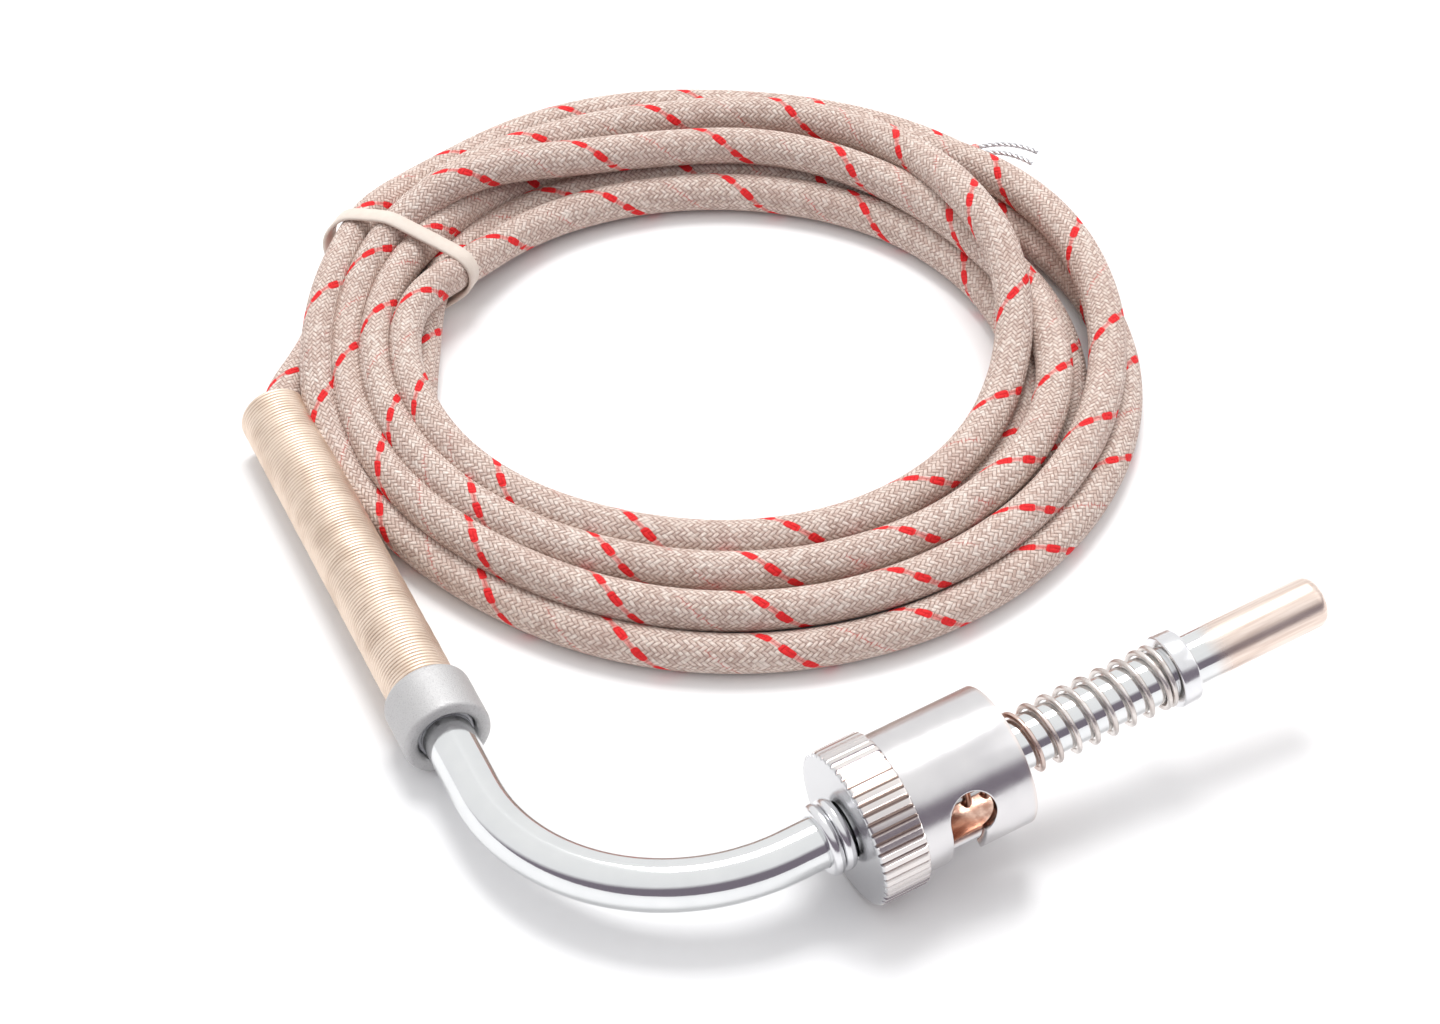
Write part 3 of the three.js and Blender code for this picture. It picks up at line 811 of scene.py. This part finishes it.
def stretched(g, axis, squeeze):
    """Places squeezed along an axis, so that noise on them runs in streaks along it."""
    along = g.node("VectorMath", {0: g.place(), 1: tuple(axis)}, output=1, operation="DOT_PRODUCT")
    back = g.node("VectorMath", {0: tuple(axis), "Scale": along}, operation="SCALE")
    less = g.node("VectorMath", {0: back, "Scale": squeeze}, operation="SCALE")
    return g.node("VectorMath", {0: g.place(), 1: less}, operation="SUBTRACT")


def chrome_material():
    """Bright plating with fine draw lines, faint smudges, and a heat-tinted end."""
    g = Graph("Polished chrome", metallic=1.0)
    smudge = g.noise(0.35, 3.0)
    streak = g.noise(3.0, 4.0, stretched(g, tip_axis, 0.94))
    along, _ = station_of(g, tip_axis)
    warm = g.step(g.math("MULTIPLY_ADD", smudge, 2.0, along), 66.5, 69.5)
    plate = g.mix(g.span(smudge, 0.0, 1.0), rgb(234, 235, 235), rgb(220, 222, 223))
    heated = g.mix(g.step(streak, 0.3, 0.7), rgb(240, 224, 213), rgb(218, 198, 186))
    colour = g.mix(warm, plate, heated)
    rough = g.plus(g.span(smudge, 0.06, 0.13), g.times(warm, 0.2))
    height = g.plus(streak, g.noise(1.4, 2.0))
    return g.finish(colour, rough, height, 0.008, 0.3)


def collar_material():
    g = Graph("Chromed collars", metallic=1.0)
    ground = g.noise(1.1, 4.0)
    colour = g.mix(g.span(ground, 0.0, 1.0), rgb(236, 236, 237), rgb(222, 222, 225))
    return g.finish(colour, g.span(ground, 0.12, 0.24), g.plus(ground, g.noise(6.0)), 0.01, 0.35)


def cap_material():
    """Nickel outside and coppery inside. The knurl's crests and the mouth's rim are worn to warm brass and
    lighter with painted highlight, with painted shade in the knurl's grooves and on the rear face.
    """
    g = Graph("Nickelled brass", metallic=1.0)
    along, out = station_of(g, tip_axis)
    wear = g.noise(0.9, 5.0)
    cloud = g.noise(0.3, 2.0)
    lines = g.noise(4.0, 3.0, stretched(g, tip_axis, -6.0))
    nickel = g.mix(g.span(cloud, 0.0, 1.0), rgb(228, 226, 226), rgb(210, 208, 210))
    # Painted highlight, with wear: the mouth's rim is lighter and warmer.
    rim = g.times(g.step(along, CAP_MOUTH - 0.5, CAP_MOUTH - 0.1), g.span(wear, 0.2, 0.8))
    floor = KNURL_RADIUS - KNURL_DEPTH
    # Painted shade: darker in the knurl's grooves.
    sunk = g.minus(1.0, g.step(out, KNURL_RADIUS - 0.3, KNURL_RADIUS - 0.08))
    painted_groove_shade = g.times(g.step(out, floor - 0.12, floor), sunk)
    # Painted highlight, with wear: the knurl's crests are lighter and warmer.
    crest = g.times(g.step(out, KNURL_RADIUS - 0.2, KNURL_RADIUS - 0.02), g.span(wear, 0.1, 0.6))
    wear_and_painted_light = g.mix(g.times(g.math("MAXIMUM", crest, rim), 0.6), nickel, rgb(243, 222, 208))
    wear_and_painted_light = g.mix(g.times(painted_groove_shade, 0.6), wear_and_painted_light, rgb(194, 172, 160))
    # Painted shade: the rear face is a little darker.
    back_face = g.minus(1.0, g.step(along, CAP_REAR + 0.05, CAP_REAR + 0.3))
    wear_and_painted_light = g.mix(back_face, wear_and_painted_light, rgb(206, 206, 208))
    copper = g.mix(g.step(wear, 0.35, 0.65), rgb(232, 200, 182), rgb(190, 146, 128))
    inner = g.minus(1.0, g.step(out, CAP_BORE + 0.1, CAP_BORE + 0.65))
    inside = g.times(inner, g.step(along, CAP_REAR + 1.0, CAP_REAR + 1.6))
    colour = g.mix(inside, wear_and_painted_light, copper)
    height = g.plus(g.times(lines, 0.8), g.times(wear, 0.3))
    return g.finish(colour, g.span(wear, 0.18, 0.28), height, 0.012, 0.4)


def ferrule_material(name, base, mottling):
    """Blasted cast alloy: matt, with a fine even grain."""
    g = Graph(name, metallic=0.6)
    grain = g.noise(7.0, 4.0)
    pits = g.node("TexVoronoi", {"Vector": g.place(), "Scale": 4.2})
    colour = g.mix(g.times(g.step(grain, 0.5, 0.75), mottling), base, rgb(140, 137, 140))
    height = g.plus(grain, g.times(g.step(pits, 0.0, 0.35), 0.5))
    return g.finish(colour, g.span(grain, 0.45, 0.65), height, 0.06, 0.7)


def armour_material():
    """Spring wire with a pale straw tint, with painted shade in the grooves where the coils touch."""
    g = Graph("Armour wire", metallic=0.9)
    _, out = station_of(g, armour_axis)
    patch = g.noise(0.3, 4.0)
    fine = g.noise(4.5, 4.0)
    crown = g.step(out, ARMOUR_RADIUS - 0.26, ARMOUR_RADIUS - 0.05)
    straw = g.mix(g.step(patch, 0.4, 0.66), rgb(238, 220, 203), rgb(222, 202, 184))
    # Painted shade: darker in the grooves between the turns, straw on their crowns.
    colour = g.mix(crown, rgb(176, 150, 128), straw)
    return g.finish(colour, g.span(fine, 0.4, 0.54), fine, 0.015, 0.4)


def spring_material():
    """Drawn wire, silver at the front, with a painted copper reflection towards the cap."""
    g = Graph("Spring wire", metallic=1.0)
    along, _ = station_of(g, tip_axis)
    patch = g.noise(0.5, 3.0)
    # Painted reflection: copper from the cap's bore, on the turns inside and near the cap.
    copper_reflection = g.minus(1.0, g.step(g.math("MULTIPLY_ADD", patch, 6.0, along), 44.0, 54.0))
    silver = g.mix(g.step(patch, 0.4, 0.65), rgb(232, 226, 222), rgb(208, 199, 194))
    colour = g.mix(g.times(copper_reflection, 0.9), silver, rgb(208, 152, 126))
    fine = g.noise(7.0, 3.0)
    return g.finish(colour, g.span(fine, 0.22, 0.36), fine, 0.012, 0.4)


def wire_material(name, light, dark):
    g = Graph(name, metallic=1.0)
    drawn = g.noise(3.5, 4.0)
    colour = g.mix(g.step(drawn, 0.35, 0.7), light, dark)
    return g.finish(colour, g.span(drawn, 0.2, 0.4), drawn, 0.015, 0.5)


def fibre_material(name, light, dark, depth):
    """Matt fibre or cement with a fine grain."""
    g = Graph(name, specular=0.3)
    grain = g.noise(3.0, 5.0)
    fine = g.noise(11.0, 3.0)
    colour = g.mix(g.step(grain, 0.35, 0.7), light, dark)
    return g.finish(colour, g.span(fine, 0.7, 0.92), g.plus(grain, fine), depth, 0.7)


# ---- Probe ----


def make_sheath(material):
    """The bent tube, its rounded end and its bore."""
    sides = 64
    stations = [TUBE_REAR, TUBE_REAR + 0.1]
    stations += list(np.arange(TUBE_REAR + 1, -tangent_length, 2.0))
    stations += list(np.linspace(-tangent_length, tangent_length, 72))
    stations += list(np.arange(tangent_length + 2, TIP_END - TIP_ROUNDING - 0.5, 2.0))
    profile = [(stations[0], TUBE_RADIUS - 0.1)] + [(s, TUBE_RADIUS) for s in stations[1:]]
    profile += [
        (TIP_END - TIP_ROUNDING * (1 - math.sin(a)), TUBE_RADIUS - TIP_ROUNDING * (1 - math.cos(a)))
        for a in np.linspace(0, math.pi / 2, 9)
    ]
    profile += [(TIP_END, 0.7), (TIP_END, 0.02)]
    inner = [(TIP_END - TIP_WALL, 0.02), (TIP_END - TIP_WALL, TUBE_BORE)]
    inner += [(s, TUBE_BORE) for s in reversed(stations[2:])] + [(TUBE_REAR, TUBE_BORE)]
    angles = np.arange(sides) * 2 * math.pi / sides
    points = []
    for station, radius in profile + inner:
        at, along = on_probe(station)
        across = np.cross(bend_normal, along)
        circle = np.outer(np.cos(angles), bend_normal) + np.outer(np.sin(angles), across)
        points.append(at + radius * circle)
    faces = [tuple(reversed(f)) for f in ring_faces(len(points), sides, closed=True)]
    # The tip's last outer ring and first inner ring each close on themselves, not on each other.
    last_outer, first_inner = (len(profile) - 1) * sides, len(profile) * sides
    faces = [f for f in faces if not (last_outer <= min(f) < first_inner <= max(f))]
    faces.append(tuple(range(last_outer, last_outer + sides))[::-1])
    faces.append(tuple(range(first_inner, first_inner + sides)))
    tube = mesh_from("probe_tube", np.array(points).reshape(-1, 3), faces, sharp=50)
    return finish_piece(tube, "probe", "polished_tube", material, "probe_sheath")


def make_collars(material):
    rear, front, radius = FRONT_COLLAR
    profile = [(rear, COLLAR_BORE)]
    profile += arc(rear + 0.2, radius - 0.2, 0.2, 180, 90)
    profile += arc(front - 0.3, radius - 0.3, 0.3, 90, 0)
    profile += [(front, COLLAR_BORE + 0.12), (front - 0.12, COLLAR_BORE)]
    collar = turned("front_spring_collar", profile[::-1], tip_axis)
    finish_piece(collar, "probe", "polished_tube", material, "front_collar")
    rear, front, radius = REAR_COLLAR
    bead = (front - rear) / 4
    profile = [(rear, COLLAR_BORE)]
    for middle in (rear + bead, front - bead):
        profile += [
            (middle - bead * 0.98 * math.cos(a), radius - 0.55 + 0.55 * math.sin(a) ** 0.8)
            for a in np.linspace(0, math.pi, 13)
        ]
    profile.append((front, COLLAR_BORE))
    beads = turned("rear_beaded_collar", profile[::-1], tip_axis, sharp=60)
    finish_piece(beads, "probe", "polished_tube", material, "rear_collar")


def make_spring(material):
    """Round wire with closed ends, carried by the spring seat."""
    rear = CAP_REAR + CAP_FLOOR + 0.3 + SPRING_WIRE
    front = FRONT_COLLAR[0] - 0.1 - SPRING_WIRE
    closed = SPRING_CLOSED_TURNS * SPRING_CLOSED_PITCH
    pitch = (front - rear - 2 * closed) / SPRING_ACTIVE_TURNS
    turns = SPRING_ACTIVE_TURNS + 2 * SPRING_CLOSED_TURNS
    turn = np.linspace(0, turns, int(turns * 48) + 1)
    station = rear + np.interp(
        turn,
        [0, SPRING_CLOSED_TURNS, SPRING_CLOSED_TURNS + SPRING_ACTIVE_TURNS, turns],
        [0, closed, closed + pitch * SPRING_ACTIVE_TURNS, front - rear],
    )
    for _ in range(12):
        station[1:-1] = 0.25 * station[:-2] + 0.5 * station[1:-1] + 0.25 * station[2:]
    side, up = leg_axes(tip_axis)
    a = turn * 2 * math.pi
    path = knee + np.outer(station, tip_axis) + SPRING_RADIUS * (
        np.outer(np.cos(a), side) + np.outer(np.sin(a), up)
    )
    spring = wire("compression_spring_wire", path, SPRING_WIRE, sides=12)
    finish_piece(spring, "spring_seat", "spring_steel", material, "compression_spring")
    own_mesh(spring)


# ---- Bayonet cap ----

PLATE_ROUND = 0.12
SLICE = math.radians(2.5)


def slot_outline(wall):
    """One slot's outline across the unrolled wall, from the mouth and back to it, in millimetres."""
    def at(degrees):
        return math.radians(degrees) * wall
    front = CHANNEL_REAR + CHANNEL_WIDTH
    middle = (at(SLOT_FROM), DETENT_STATION)
    meets = math.asin((front - DETENT_STATION) / DETENT_RADIUS)
    points = [(at(SLOT_ENTRY), CAP_MOUTH), (at(SLOT_ENTRY), front + 0.3), (at(SLOT_ENTRY) - 0.3, front)]
    for a in np.linspace(meets, 1.5 * math.pi, 28):
        points.append((middle[0] + DETENT_RADIUS * math.cos(a), middle[1] + DETENT_RADIUS * math.sin(a)))
    corner = 0.7
    pivot = (at(SLOT_TO) - corner, CHANNEL_REAR + corner)
    for a in np.linspace(-math.pi / 2, 0, 6):
        points.append((pivot[0] + corner * math.cos(a), pivot[1] + corner * math.sin(a)))
    points.append((at(SLOT_TO), CAP_MOUTH))
    return points


def slotted_wall():
    """The cap's wall: a flat plate with rounded edges, sliced across and rolled up."""
    wall = (CAP_RADIUS + CAP_BORE) / 2
    around = 2 * math.pi * wall
    inside_ring = CAP_REAR + KNURL_WIDTH - 0.2
    slot = slot_outline(wall)
    outline = [(-3.0, inside_ring), (-3.0, CAP_MOUTH)]
    outline += slot
    outline += [(around + 3.0, CAP_MOUTH), (around + 3.0, inside_ring)]
    curve = bpy.data.curves.new("Wall outline", "CURVE")
    curve.dimensions = "2D"
    curve.fill_mode = "BOTH"
    curve.extrude = (CAP_RADIUS - CAP_BORE) / 2 - PLATE_ROUND
    curve.bevel_depth = PLATE_ROUND
    curve.bevel_resolution = 2
    curve.offset = -PLATE_ROUND
    spline = curve.splines.new("POLY")
    spline.points.add(len(outline) - 1)
    for point, (x, y) in zip(spline.points, outline):
        point.co = (x, y, 0, 1)
    spline.use_cyclic_u = True
    holder = link("Wall outline", curve)
    bpy.context.view_layer.update()
    plate = bpy.data.meshes.new_from_object(holder.evaluated_get(bpy.context.evaluated_depsgraph_get()))
    bpy.data.objects.remove(holder)
    bm = bmesh.new()
    bm.from_mesh(plate)
    bmesh.ops.remove_doubles(bm, verts=bm.verts, dist=1e-4)
    for x, keeps_above in ((0.0, True), (around, False)):
        everything = bm.verts[:] + bm.edges[:] + bm.faces[:]
        bmesh.ops.bisect_plane(
            bm, geom=everything, dist=1e-5, plane_co=(x, 0, 0), plane_no=(1, 0, 0),
            clear_inner=keeps_above, clear_outer=not keeps_above,
        )
    for k in range(1, int(round(2 * math.pi / SLICE))):
        everything = bm.verts[:] + bm.edges[:] + bm.faces[:]
        bmesh.ops.bisect_plane(
            bm, geom=everything, dist=1e-5, plane_co=(k * SLICE * wall, 0, 0), plane_no=(1, 0, 0)
        )
    side, up = leg_axes(tip_axis)
    for vertex in bm.verts:
        x, station, depth = vertex.co
        a = x / wall
        radius = wall + depth
        place = knee + station * tip_axis + radius * (math.cos(a) * side + math.sin(a) * up)
        vertex.co = Vector(place) * MM
    bmesh.ops.remove_doubles(bm, verts=bm.verts, dist=1e-7)
    bmesh.ops.recalc_face_normals(bm, faces=bm.faces)
    mesh = bpy.data.meshes.new("slotted_wall")
    bm.to_mesh(mesh)
    bm.free()
    return mesh


def knurl_radii(station, radius, angles):
    """The rim's radius between and on the knurl's flat crests."""
    pitch = 2 * math.pi / KNURL_TEETH
    share = np.abs(((angles + math.pi / 2) / pitch + 0.5) % 1 - 0.5)
    groove = np.clip((share - 0.28) / 0.22, 0, 1)
    fluted = KNURL_RADIUS - KNURL_DEPTH * (1 - (1 - groove) ** 1.6)
    return np.minimum(radius, fluted)


def make_cap(material):
    rim = CAP_REAR + KNURL_WIDTH
    floor = CAP_REAR + CAP_FLOOR
    bore = CAP_BORE - 0.01
    profile = [(CAP_REAR + 0.2, CAP_HOLE), (CAP_REAR, CAP_HOLE + 0.2), (CAP_REAR, KNURL_RADIUS - 0.75)]
    profile += arc(CAP_REAR + 0.35, KNURL_RADIUS - 0.35, 0.35, 180, 90)
    profile += [(CAP_REAR + 1.5, KNURL_RADIUS), (rim - 1.5, KNURL_RADIUS)]
    profile += arc(rim - 0.3, KNURL_RADIUS - 0.3, 0.3, 90, 0)
    profile += [(rim, CAP_RADIUS - 0.3), (rim, bore)]
    profile += [(floor + 0.25, bore), (floor, bore - 0.25), (floor, CAP_HOLE)]
    cap = turned("bayonet_cap_body", profile[::-1], tip_axis, KNURL_TEETH * 12, knurl_radii, sharp=24)
    wall = link("wall", slotted_wall())
    for polygon in wall.data.polygons:
        polygon.use_smooth = True
    wall.data.set_sharp_from_angle(angle=math.radians(35))
    return finish_piece(joined([cap, wall]), "cap", "nickelled_brass", material, "bayonet_cap")


# ---- Armour, ferrule and what they hold ----


def make_ferrule(material, bush_material):
    front, rear, radius = FERRULE_FRONT, FERRULE_REAR, FERRULE_RADIUS
    profile = [(rear, FERRULE_BORE)]
    profile += arc(rear + 0.45, radius - 0.45, 0.45, 180, 90, 6)
    profile += [(s, radius) for s in np.linspace(rear + 0.9, front - 1.0, 9)]
    profile += arc(front - 0.5, radius - 0.5, 0.5, 90, 0, 6)
    profile += [(front, FERRULE_HOLE + 0.35), (front - 0.3, FERRULE_HOLE)]
    profile += [(front - 2.0, FERRULE_HOLE), (front - 2.0, FERRULE_BORE)]

    def cast(station, ring_radius, angles):
        lumps = np.sin(3 * angles + station) + np.sin(7 * angles - 2.1 * station)
        lumps = lumps + np.sin(13 * angles + 5 * station)
        return ring_radius - 0.006 * (lumps + 3)

    ferrule = turned("armour_ferrule", profile[::-1], armour_axis, 160, cast, sharp=50)
    finish_piece(ferrule, "probe", "blasted_alloy", material, "ferrule")

    def rough(station, ring_radius, angles):
        chips = np.sin(11 * angles + 3 * station) * np.sin(5 * angles + 1.3)
        return ring_radius + 0.05 * chips * (ring_radius > COLLAR_BORE + 0.1)

    profile = [(BUSH_REAR, COLLAR_BORE), (BUSH_REAR, BUSH_RADIUS), (BUSH_FRONT - 0.12, BUSH_RADIUS - 0.03)]
    profile += [(BUSH_FRONT, BUSH_RADIUS - 0.14), (BUSH_FRONT, COLLAR_BORE)]
    bush = turned("ferrule_inner_bush", profile[::-1], armour_axis, 96, rough, sharp=40)
    finish_piece(bush, "probe", "blasted_alloy", bush_material, "ferrule_bush")


def make_armour(material):
    """A close-wound wire with a rounded flat section, from inside the ferrule to the cable's exit."""
    turns = (ARMOUR_FRONT - ARMOUR_REAR - ARMOUR_PITCH) / ARMOUR_PITCH
    turn = np.linspace(0, turns, int(turns * 48) + 1)
    station = ARMOUR_REAR + ARMOUR_PITCH / 2 + turn * ARMOUR_PITCH
    a = turn * 2 * math.pi
    middle = ARMOUR_RADIUS - ARMOUR_WIRE + 0.010 * np.sin(a / 5.3) + 0.008 * np.sin(a / 17.0)
    side, up = leg_axes(armour_axis)
    outward = np.outer(np.cos(a), side) + np.outer(np.sin(a), up)
    section = np.arange(14) * 2 * math.pi / 14
    across = ARMOUR_PITCH * 0.49 * np.sign(np.cos(section)) * np.abs(np.cos(section)) ** 0.62
    height = ARMOUR_WIRE * np.sign(np.sin(section)) * np.abs(np.sin(section)) ** 0.7
    centre = knee + np.outer(station, armour_axis)
    reach = middle[:, None] + height[None, :]
    rings = centre[:, None, :] + reach[:, :, None] * outward[:, None, :] + across[None, :, None] * armour_axis
    sides = len(section)
    faces = ring_faces(len(turn), sides)
    faces.append(tuple(reversed(range(sides))))
    faces.append(tuple(range((len(turn) - 1) * sides, len(turn) * sides)))
    armour = mesh_from("close_wound_armour", rings.reshape(-1, 3), faces, sharp=70)
    finish_piece(armour, "probe", "armour_steel", material, "armour_spring")


chrome = chrome_material()
collar_chrome = collar_material()
make_sheath(chrome)
make_collars(collar_chrome)
make_spring(spring_material())
make_cap(cap_material())
cast_alloy = ferrule_material("Cast alloy", rgb(196, 195, 195), 0.4)
bush_alloy = ferrule_material("Bush alloy", rgb(184, 184, 188), 0.6)
make_ferrule(cast_alloy, bush_alloy)
make_armour(armour_material())

# ---- The cable's far end ----


def on_coil(x, y, z):
    return np.array([coil_centre[0] + x, coil_centre[1] + y, z])


def make_tail_end(name, side, sleeve_material, lead_material):
    """One conductor: a stub of glass sleeve out of the braid, then bare stranded wire."""
    start = cable_path[-1] - (cable_path[-1] - cable_path[-2]) * 2
    sleeve_end, lead_end = on_coil(*TAIL_SLEEVE_END), on_coil(*TAIL_LEAD_END)
    across = np.cross(lead_end - start, (0, 0, 1))
    across *= side / np.linalg.norm(across)
    shown = [
        start + 0.6 * across,
        sleeve_end + TAIL_SPREAD * 0.8 * across,
        lead_end + TAIL_SPREAD * 1.1 * across,
    ]
    t = np.linspace(0, 1, 40)[:, None]
    control = 2 * shown[1] - (shown[0] + shown[2]) / 2
    bow = (1 - t) ** 2 * shown[0] + 2 * t * (1 - t) * control + t * t * shown[2]
    split = 10
    sleeve = wire(f"{name}_insulated_stub", bow[:split], 0.5, sides=24)
    finish_piece(sleeve, "probe", "glass_sleeve", sleeve_material, f"{name}_tail_sleeve")
    core = bow[split - 3:]
    turn = np.linspace(0, 7 * math.pi, len(core))
    _, u, v = frames_along(core)
    strands = []
    for phase in np.arange(3) * 2 * math.pi / 3:
        lay = 0.13 * (np.cos(turn + phase)[:, None] * u + np.sin(turn + phase)[:, None] * v)
        strands.append(wire(f"{name}_strand", core + lay, 0.15, sides=12))
    lead = joined(strands)
    lead.name = f"{name}_bare_lead"
    finish_piece(lead, "probe", "tinned_wire", lead_material, f"{name}_lead")
    return [sleeve, lead]


tinned = wire_material("Tinned wire", rgb(224, 224, 226), rgb(186, 186, 190))
conductor_alloy = wire_material("Conductor alloy", rgb(190, 182, 172), rgb(150, 142, 134))
glass_sleeve = fibre_material("Glass sleeve", rgb(236, 224, 210), rgb(206, 190, 176), 0.06)
red_sleeve = fibre_material("Red glass sleeve", rgb(232, 120, 116), rgb(238, 214, 206), 0.06)
tail_pieces = make_tail_end("positive", 1, glass_sleeve, tinned)
tail_pieces += make_tail_end("negative", -1, red_sleeve, tinned)

# ---- CAD nodes that stay as they are ----

kept_materials = {
    "positive_wire": conductor_alloy,
    "negative_wire": conductor_alloy,
    "measuring_junction": conductor_alloy,
    "positive_sleeve": glass_sleeve,
    "negative_sleeve": glass_sleeve,
    "tip_cement": fibre_material("Tip cement", rgb(222, 218, 206), rgb(190, 184, 172), 0.08),
    "braid_crimp": wire_material("Crimp steel", rgb(190, 182, 176), rgb(150, 144, 140)),
    "cable_root": fibre_material("Braid root", rgb(214, 192, 177), rgb(168, 142, 130), 0.1),
}
for node, material in kept_materials.items():
    mesh = frame["nodes"][node].data
    mesh.materials.clear()
    mesh.materials.append(material)

# ---- Floor and light ----


def make_floor():
    mesh = bpy.data.meshes.new("Floor")
    half = 10.0
    corners = [(-half, -half, 0), (half, -half, 0), (half, half, 0), (-half, half, 0)]
    mesh.from_pydata(corners, [], [(0, 1, 2, 3)])
    floor = link("Floor", mesh)
    floor.location.z = -0.0002
    g = Graph("Bench", specular=0.25)
    colour = g.mix(g.noise(0.01, 2.0), rgb(246, 246, 247), rgb(250, 250, 250))
    floor.data.materials.append(g.finish(colour, g.span(g.noise(0.05), 0.5, 0.6)))


def area_light(name, place, size, power):
    data = bpy.data.lights.new(name, "AREA")
    data.shape = "RECTANGLE"
    data.size, data.size_y = size
    data.energy = power
    light = bpy.data.objects.new(name, data)
    bpy.context.scene.collection.objects.link(light)
    light.location = place
    light.rotation_mode = "QUATERNION"
    light.rotation_quaternion = (-Vector(place)).to_track_quat("-Z", "Y")


def make_world():
    """A white tent, open and dark low down on the front side, so that the plating has something to show."""
    world = bpy.data.worlds.new("Studio")
    bpy.context.scene.world = world
    world.use_nodes = True
    nodes, links = world.node_tree.nodes, world.node_tree.links
    place = nodes.new("ShaderNodeTexCoord")
    tilted = nodes.new("ShaderNodeVectorMath")
    tilted.operation = "DOT_PRODUCT"
    links.new(place.outputs["Generated"], tilted.inputs[0])
    tilted.inputs[1].default_value = (0.14, 0.55, 1.0)
    ramp = nodes.new("ShaderNodeValToRGB")
    links.new(tilted.outputs["Value"], ramp.inputs[0])
    dark, pale, white = (0.22, 0.19, 0.23), (0.95, 0.95, 0.96), (1.0, 1.0, 1.0)
    stops = [(0.0, dark), (0.04, dark), (0.28, pale), (1.0, white)]
    ramp.color_ramp.elements.remove(ramp.color_ramp.elements[1])
    for k, (position, colour) in enumerate(stops):
        element = ramp.color_ramp.elements[0] if k == 0 else ramp.color_ramp.elements.new(position)
        element.position = position
        element.color = (*colour, 1.0)
    background = nodes["Background"]
    links.new(ramp.outputs[0], background.inputs["Color"])
    background.inputs["Strength"].default_value = 1.02


make_floor()
make_world()
area_light("Key", (0.24, 0.47, 1.2), (0.5, 0.5), 8.8)
area_light("Fill", (0.9, -0.3, 0.9), (0.9, 0.9), 1.0)
bpy.context.scene.view_settings.view_transform = "Standard"
